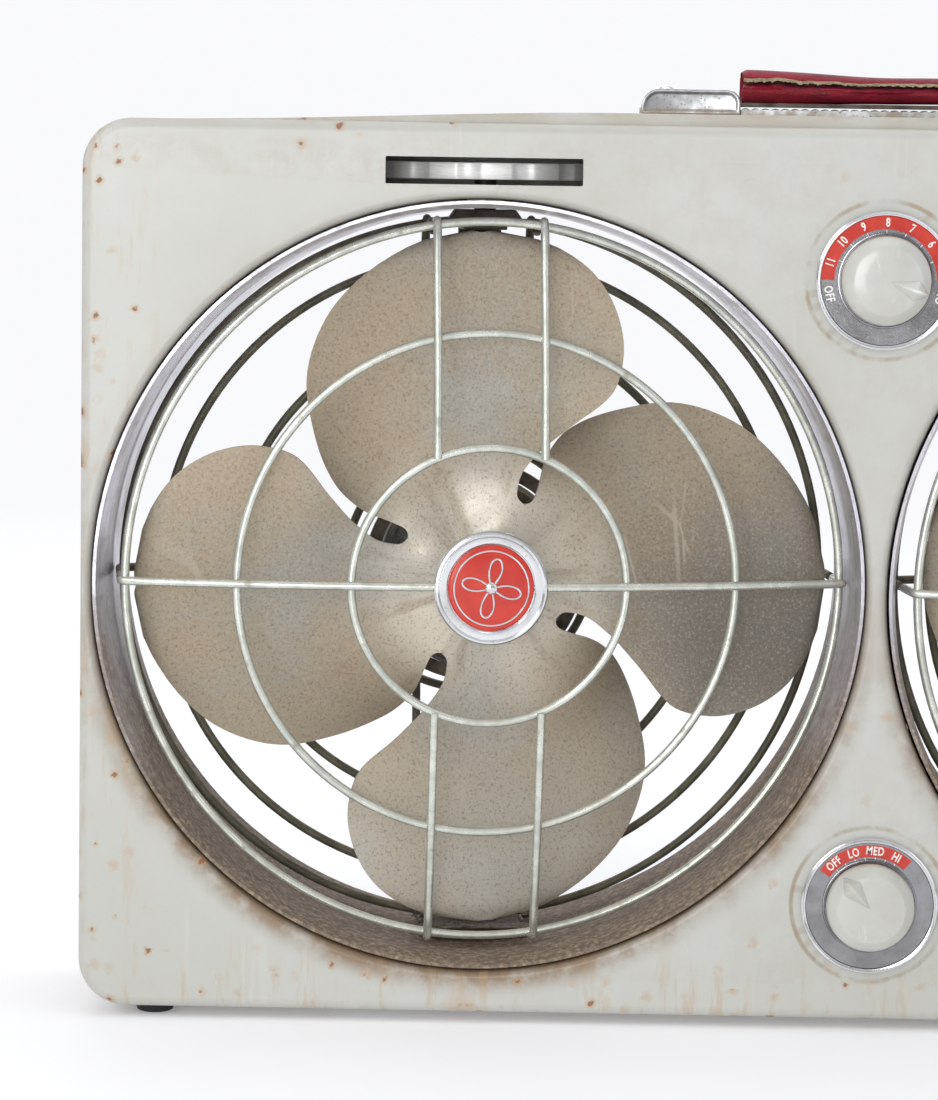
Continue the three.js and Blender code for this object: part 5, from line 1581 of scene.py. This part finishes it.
class VENTILATOR_OT_dials(bpy.types.Operator):
    """Adds the thermostat dial and the speed dial"""

    bl_idname = "ventilator.add_dials"
    bl_label = "Dials"

    def execute(self, context):
        for dial, height in DIAL_HEIGHTS.items():
            place = Matrix.Translation((0, FRONT_Y, height))
            profile = [(4, 0.35), (24.3, 0.35), (24.7, 0), (24.8, -0.8), (24.8, -1.9), (24.6, -2.5),
                       (24.2, -2.75), (23.9, -2.6), (23.75, -2.3), (23.6, -2.25), (23.4, -2.35),
                       (23.2, -2.3), (23.0, -1.8), (22.9, FACE_Y), (17.1, FACE_Y), (16.9, -2.0),
                       (16.5, -2.05), (16.3, -1.8), (4, FACE_Y)]
            bezel = turned(f"{dial}_bezel_plate", profile, 128, place, closed=True)
            coated(bezel, bright_plate(), dial_metal())
            for face in bezel.data.polygons:
                reach = math.hypot(face.center.x, face.center.z - height)
                if reach < 22.9 * MM and face.normal.y < -0.5:
                    face.material_index = 1
            fitted(bezel, "case", [f"{dial}_bezel"], 25)
            band = scale_band(f"{dial}_scale_band", *BANDS[dial])
            band.data.transform(place)
            fitted(coated(band, scale_red()), "case")
            fitted(coated(self.figures(dial, place), figure_white()), "case")
            turned_knob = knob(f"{dial}_knob_body", POINTERS[dial])
            turned_knob.data.transform(place)
            coated(turned_knob, knob_plastic())
            fitted(turned_knob, f"{dial}_dial", [f"{dial}_knob"], 28)
        return {"FINISHED"}

    def figures(self, dial, place):
        pieces = []
        inner, outer = BANDS[dial][2:]
        reach = (inner + outer) / 2 * MM
        for words, angle in FIGURES[dial]:
            mark = flat_text("figure", words, 4.3 * MM, 0.12 * MM)
            turn = Matrix.Rotation(math.pi / 2 - math.radians(angle), 4, "Y")
            if not 0 < angle < 180:
                mark.data.transform(Matrix.Rotation(math.pi, 4, "Y"))
            mark.data.transform(turn @ Matrix.Translation((0, (FACE_Y - 0.2) * MM, reach)))
            pieces.append(mark)
        first, last = BANDS[dial][:2]
        size = Vector((0.14, 0.08, 0.5)) * MM
        for step in range(1, TICK_STEPS):
            angle = math.radians(first + (last - first) * step / TICK_STEPS)
            tick = soften(block("tick", -size, size), 0.04 * MM, 1)
            turn = Matrix.Rotation(math.pi / 2 - angle, 4, "Y")
            tick.data.transform(turn @ Matrix.Translation((0, FACE_Y * MM, 17.55 * MM)))
            pieces.append(tick)
        figures = joined(f"{dial}_scale_figures", pieces)
        figures.data.transform(place)
        return figures


# ---- Handle ----


def grip_sway(x):
    return noise.noise(Vector((x * 42, 1.7, 0.2)))


def grip_fold(x):
    wide, fine = noise.noise(Vector((x * 90, 2.7, 0.2))), noise.noise(Vector((x * 260, 7.7, 0.2)))
    return 0.34 + 0.1 * wide + 0.07 * fine


def grip_height(along, up, low, high):
    """Height of the grip's skin. The loose sleeve sags between its ends."""
    x = low.x + (high.x - low.x) * along
    sag = eased(along, 0, 0.55) * (1 - 0.8 * eased(along, 0.7, 1))
    droop = (0.7 + 0.25 * grip_sway(x)) * MM * sag
    return (low.z + high.z) / 2 + up * (high.z - low.z) / 2 * 0.97 * (1 - 0.24 * sag) - droop


def grip_point(along, around, low, high):
    """A point of the grip's skin. The front has a torn fold near the top and a seam below it."""
    middle = (low + high) / 2
    half = (high - low) / 2
    angle = around * 2 * math.pi
    across = math.copysign(abs(math.cos(angle)) ** 0.72, math.cos(angle))
    up = math.copysign(abs(math.sin(angle)) ** 0.8, math.sin(angle))
    slack = 1.7 * MM * eased(up, -0.1, 0.45) + 0.5 * MM * abs(noise.noise(Vector((angle * 3, 0.6, along))))
    x = low.x + (high.x - low.x) * along + slack * ((1 - along) ** 30 - along**30)
    sway = grip_sway(x)
    ripple = noise.noise(Vector((x * 190, angle * 1.3, 4.0)))
    swell = 0.95 + 0.02 * sway + 0.015 * ripple
    if across < 0:
        fold = grip_fold(x)
        seam = -0.2 + 0.09 * noise.noise(Vector((x * 30, 3.3, 0.5)))
        swell -= 0.26 * math.exp(-(((up - fold + 0.12) / 0.13) ** 2))
        swell -= 0.06 * math.exp(-(((up - seam) / 0.05) ** 2))
    return Vector((x, middle.y + across * half.y * swell, grip_height(along, up, low, high)))


def grip_skin(low, high):
    columns, rows = 120, 72
    clear_selection()
    bpy.ops.mesh.primitive_grid_add(x_subdivisions=columns, y_subdivisions=rows, size=2)
    skin = named("handle_grip_skin")
    for vert in skin.data.vertices:
        vert.co = grip_point((vert.co.x + 1) / 2, (vert.co.y + 1) / 2, low, high)
    weld(skin)
    begin_edit(skin)
    pick(skin, "edges", lambda edge: edge.is_boundary)
    last = 1
    for share, depth in ((0.86, 0.1), (0.8, 1.5), (0.72, 4)):
        bpy.ops.mesh.extrude_edges_move()
        mesh = bmesh.from_edit_mesh(skin.data)
        middle = (low + high) / 2
        for vert in mesh.verts:
            if vert.select:
                end = 1 if vert.co.x > middle.x else -1
                edge_x = high.x if end > 0 else low.x
                lateral = Vector((0, vert.co.y - middle.y, vert.co.z - middle.z))
                ragged = 0.35 * MM * noise.noise(Vector((vert.co.y * 900, vert.co.z * 900, end)))
                lateral *= share / last
                x = edge_x - end * depth * MM + min(ragged, 0) * end
                vert.co = Vector((x, middle.y + lateral.y, middle.z + lateral.z))
        bmesh.update_edit_mesh(skin.data)
        last = share
    bpy.ops.mesh.select_all(action="SELECT")
    bpy.ops.mesh.fill_holes(sides=0)
    end_edit_outwards()
    return skin


def frayed_edge(low, high):
    """The torn vinyl's cloth backing, a ragged ribbon that follows the fold."""
    clear_selection()
    bpy.ops.mesh.primitive_grid_add(x_subdivisions=360, y_subdivisions=3, size=2)
    ribbon = named("fray")
    middle = (low + high) / 2
    half = (high - low) / 2
    for vert in ribbon.data.vertices:
        along, across = (vert.co.x + 1) / 2, (vert.co.y + 1) / 2
        x = low.x + 0.4 * MM + (high.x - low.x - 0.8 * MM) * along
        fine, wide = noise.noise(Vector((x * 1400, 0.3, 0))), noise.noise(Vector((x * 320, 9.1, 0)))
        jag = 0.5 * abs(fine) + 0.6 * abs(wide)
        up = grip_fold(x) + 0.14 - across * (0.12 + 0.3 * jag)
        level = math.asin(min(max(abs(up), 0), 1) ** 1.25)
        reach = math.cos(level) ** 0.72 * half.y * (0.985 - 0.035 * across)
        vert.co = Vector((x, middle.y - reach, grip_height(along, up, low, high)))
    return with_modifier(ribbon, "SOLIDIFY", thickness=0.35 * MM, offset=0)


class VENTILATOR_OT_handle(bpy.types.Operator):
    """Adds the carrying handle: caps, screws, beaded strip and grip"""

    bl_idname = "ventilator.add_handle"
    bl_label = "Handle"

    def execute(self, context):
        for side, sign in (("left", -1), ("right", 1)):
            low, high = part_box(f"{side}_handle_cap")
            cap = self.cap(f"{side}_handle_cap_cover", low, high, sign)
            fitted(coated(cap, pitted_plate()), "case", [f"{side}_handle_cap"], 32)
            middle = middle_of(f"{side}_cap_screw")
            place = Matrix.Translation((middle.x, middle.y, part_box(f"{side}_cap_screw")[1].z))
            head = [(0, 0), (1.2, -0.15), (2.4, -0.6), (3.2, -1.3), (1.6, -1.3), (1.6, -12), (0, -12)]
            screw = turned(f"{side}_cap_screw_rivet", head, 40, place @ Matrix.Rotation(math.pi / 2, 4, "X"))
            fitted(coated(screw, bright_plate()), "case", [f"{side}_cap_screw"])
        strip = self.strip(*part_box("handle_strip"))
        fitted(coated(strip, pitted_plate()), "case", ["handle_strip"], 60)
        low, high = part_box("handle_grip")
        skin = grip_skin(low, high)
        coated(skin, grip_vinyl(), groove_shade_paint())
        self.paint_groove_shade(skin, low, high)
        fray = coated(frayed_edge(low, high), frayed_backing())
        grip = joined("handle_grip_skin", [skin, fray])
        fitted(grip, "handle", ["handle_grip"], 60)
        return {"FINISHED"}

    def paint_groove_shade(self, skin, low, high):
        """Faces in the groove below the torn edge get a near-black material: painted shade in the groove."""
        middle = (low + high) / 2
        for face in skin.data.polygons:
            along = (face.center.x - low.x) / (high.x - low.x)
            here = (face.center.z - grip_height(along, 0, low, high))
            up = here / (grip_height(along, 1, low, high) - grip_height(along, 0, low, high))
            below = grip_fold(face.center.x) - up
            if face.center.y < middle.y and 0.0 < below < 0.24:
                face.material_index = 1

    def cap(self, name, low, high, sign):
        cap = block(name, low, high)
        outer = high.x if sign > 0 else low.x
        inner = low.x if sign > 0 else high.x

        def top_edge(edge, x):
            return all(abs(v.co.x - x) < MM and v.co.z > high.z - MM for v in edge.verts)

        soften(cap, 6.5 * MM, 8, lambda edge: top_edge(edge, outer))
        soften(cap, 4.6 * MM, 3, lambda edge: top_edge(edge, inner))
        begin_edit(cap)
        pick(cap, "faces", lambda face: abs(face.normal.y) > 0.9)
        bpy.ops.mesh.inset(thickness=1.1 * MM, depth=0)
        bpy.ops.mesh.inset(thickness=0.5 * MM, depth=-0.55 * MM)
        end_edit()
        return soften(cap, 0.45 * MM, 3)

    def strip(self, low, high):
        """A strip whose face has a row of beads along it."""
        clear_selection()
        bpy.ops.mesh.primitive_grid_add(x_subdivisions=400, y_subdivisions=6, size=2)
        strip = named("handle_strip_beads")
        middle = (low + high) / 2
        half = (high - low) / 2
        for vert in strip.data.vertices:
            x = middle.x + vert.co.x * half.x
            bead = abs(math.sin(x / (1.15 * MM)))
            edge = 1 - abs(vert.co.y) ** 4
            z = high.z - 0.75 * MM + 0.75 * MM * bead * (0.35 + 0.65 * edge)
            vert.co = Vector((x, middle.y + vert.co.y * half.y, z))
        begin_edit(strip)
        bpy.ops.mesh.extrude_region_move()
        mesh = bmesh.from_edit_mesh(strip.data)
        for vert in mesh.verts:
            if vert.select:
                vert.co.z = low.z
        end_edit_outwards()
        return strip


class VENTILATOR_OT_inner_works(bpy.types.Operator):
    """Gives the carried-over pieces inside the case their finishes"""

    bl_idname = "ventilator.finish_inner_works"
    bl_label = "Inner works"

    def execute(self, context):
        coats = {
            "thermostat_body": turned_brass(),
            "thermostat_spindle": turned_brass(),
            "speed_spindle": turned_brass(),
            "speed_switch_body": phenolic(),
            "handle_strap": dull_steel("Sprung strap steel", home=False),
        }
        for side in SIDES:
            coats[f"{side}_upper_bush"] = turned_brass()
            coats[f"{side}_lower_bush"] = turned_brass()
        for name, material in coats.items():
            coated(frame["nodes"][name], material)
        return {"FINISHED"}


# ---- Stage ----

CAMERA = {
    "place": Vector((-128.28, -1413.64, 311.8)) * MM,
    "pitch": -0.100548,
    "roll": 0.015404,
    "yaw": 0.0133009,
    "lens": 126.08,
}


LAMPS = (  # name, place, size, power and tint
    ("window light", (-1.6, -1.6, 1.6), 1.4, 12, (1, 0.995, 0.98)),
    ("front fill", (-0.6, -2.6, 0.48), 1.1, 21, (1, 1, 0.99)),
    ("far fill", (1.9, -1.3, 0.9), 1.4, 3, (0.97, 0.98, 1)),
    ("top light", (0.1, 0.3, 2.0), 1.6, 8, (0.98, 0.98, 1)),
    ("back fill", (-0.4, 2.0, 1.1), 1.6, 7, (0.97, 0.97, 1)),
)
BACKDROP = (0.945, 0.95, 0.975)  # what the camera sees past the object


class VENTILATOR_OT_stage(bpy.types.Operator):
    """Adds the floor, the studio light and the camera"""

    bl_idname = "ventilator.add_stage"
    bl_label = "Stage"

    def execute(self, context):
        clear_selection()
        bpy.ops.mesh.primitive_grid_add(x_subdivisions=8, y_subdivisions=8, size=14)
        floor = named("studio_floor")
        coated(floor, pale_floor())
        for lamp in LAMPS:
            self.lamp(*lamp)
        self.world(context.scene)
        self.camera(context.scene)
        return {"FINISHED"}

    def lamp(self, name, place, size, power, tint):
        clear_selection()
        bpy.ops.object.light_add(type="AREA", location=place)
        lamp = bpy.context.object
        lamp.name = name
        lamp.data.size = size
        lamp.data.energy = power
        lamp.data.color = tint
        lamp.visible_camera = False
        aim = Vector((0, 0, 0.16)) - Vector(place)
        lamp.rotation_euler = aim.to_track_quat("-Z", "Y").to_euler()

    def world(self, scene):
        """Soft white all round, with a dim lower front, so that bright metal has something to mirror."""
        world = bpy.data.worlds.new("Studio")
        scene.world = world
        world.use_nodes = True
        world.node_tree.nodes.clear()
        w = Weaver(world.node_tree)
        direction = w.node("ShaderNodeTexCoord").outputs["Object"]
        _, y, z = w.split(direction)
        height = w.rise(z, -0.25, 0.55)
        front = w.times(w.rise(y, 0.1, -0.85), w.rise(z, 0.2, -0.1))
        strength = w.math("SUBTRACT", w.scaled(height, 0.34, 0.36), w.times(front, 0.17))
        lit = w.node("ShaderNodeBackground", {"Color": (0.97, 0.98, 1.0), "Strength": strength})
        seen = w.node("ShaderNodeBackground", {"Color": BACKDROP, "Strength": 1.0})
        path = w.node("ShaderNodeLightPath").outputs["Is Camera Ray"]
        both = w.node("ShaderNodeMixShader")
        w.feed(both.inputs[0], path)
        world.node_tree.links.new(lit.outputs[0], both.inputs[1])
        world.node_tree.links.new(seen.outputs[0], both.inputs[2])
        output = w.node("ShaderNodeOutputWorld")
        world.node_tree.links.new(both.outputs[0], output.inputs["Surface"])
        scene.view_settings.view_transform = "Standard"

    def camera(self, scene):
        clear_selection()
        bpy.ops.object.camera_add(location=CAMERA["place"])
        camera = bpy.context.object
        camera.name = "studio_camera"
        camera.data.lens = CAMERA["lens"]
        camera.data.sensor_width = 36
        camera.data.clip_end = 50
        yaw, pitch, roll = CAMERA["yaw"], CAMERA["pitch"], CAMERA["roll"]
        right = Vector((math.cos(yaw), math.sin(yaw), 0))
        ahead = Vector((-math.sin(yaw) * math.cos(pitch), math.cos(yaw) * math.cos(pitch), math.sin(pitch)))
        up = right.cross(ahead)
        across = right * math.cos(roll) + up * math.sin(roll)
        above = up * math.cos(roll) - right * math.sin(roll)
        turn = Matrix((across, above, -ahead)).transposed().to_4x4()
        camera.matrix_world = Matrix.Translation(CAMERA["place"]) @ turn
        scene.camera = camera


# ---- Add-on ----

OPERATORS = (
    VENTILATOR_OT_stage,
    VENTILATOR_OT_shells,
    VENTILATOR_OT_liners,
    VENTILATOR_OT_feet,
    VENTILATOR_OT_guards,
    VENTILATOR_OT_propellers,
    VENTILATOR_OT_motors,
    VENTILATOR_OT_pivots,
    VENTILATOR_OT_badges,
    VENTILATOR_OT_dials,
    VENTILATOR_OT_handle,
    VENTILATOR_OT_inner_works,
)
SETTINGS = (
    ("ventilator_case", CaseSizes),
    ("ventilator_fan", FanSizes),
    ("ventilator_colours", FinishColours),
)


class VENTILATOR_PT_panel(bpy.types.Panel):
    """Lists the ventilator's sizes, colours and pieces"""

    bl_label = "Ventilator"
    bl_idname = "VENTILATOR_PT_panel"
    bl_space_type = "VIEW_3D"
    bl_region_type = "UI"
    bl_category = "Ventilator"

    def draw(self, context):
        for holder, group in SETTINGS:
            box = self.layout.box()
            for name in group.__annotations__:
                box.prop(getattr(context.scene, holder), name)
        for operator in OPERATORS:
            self.layout.operator(operator.bl_idname)


def register():
    for _, group in SETTINGS:
        bpy.utils.register_class(group)
    for operator in OPERATORS:
        bpy.utils.register_class(operator)
    bpy.utils.register_class(VENTILATOR_PT_panel)
    for holder, group in SETTINGS:
        setattr(bpy.types.Scene, holder, bpy.props.PointerProperty(type=group))


def unregister():
    for holder, _ in SETTINGS:
        delattr(bpy.types.Scene, holder)
    bpy.utils.unregister_class(VENTILATOR_PT_panel)
    for operator in reversed(OPERATORS):
        bpy.utils.unregister_class(operator)
    for _, group in reversed(SETTINGS):
        bpy.utils.unregister_class(group)


def main():
    register()
    bpy.ops.ventilator.add_stage()
    bpy.ops.ventilator.add_shells()
    bpy.ops.ventilator.add_liners()
    bpy.ops.ventilator.add_feet()
    bpy.ops.ventilator.add_guards()
    bpy.ops.ventilator.add_propellers()
    bpy.ops.ventilator.add_motors()
    bpy.ops.ventilator.add_pivots()
    bpy.ops.ventilator.add_badges()
    bpy.ops.ventilator.add_dials()
    bpy.ops.ventilator.add_handle()
    bpy.ops.ventilator.finish_inner_works()


if __name__ == "__main__":
    main()
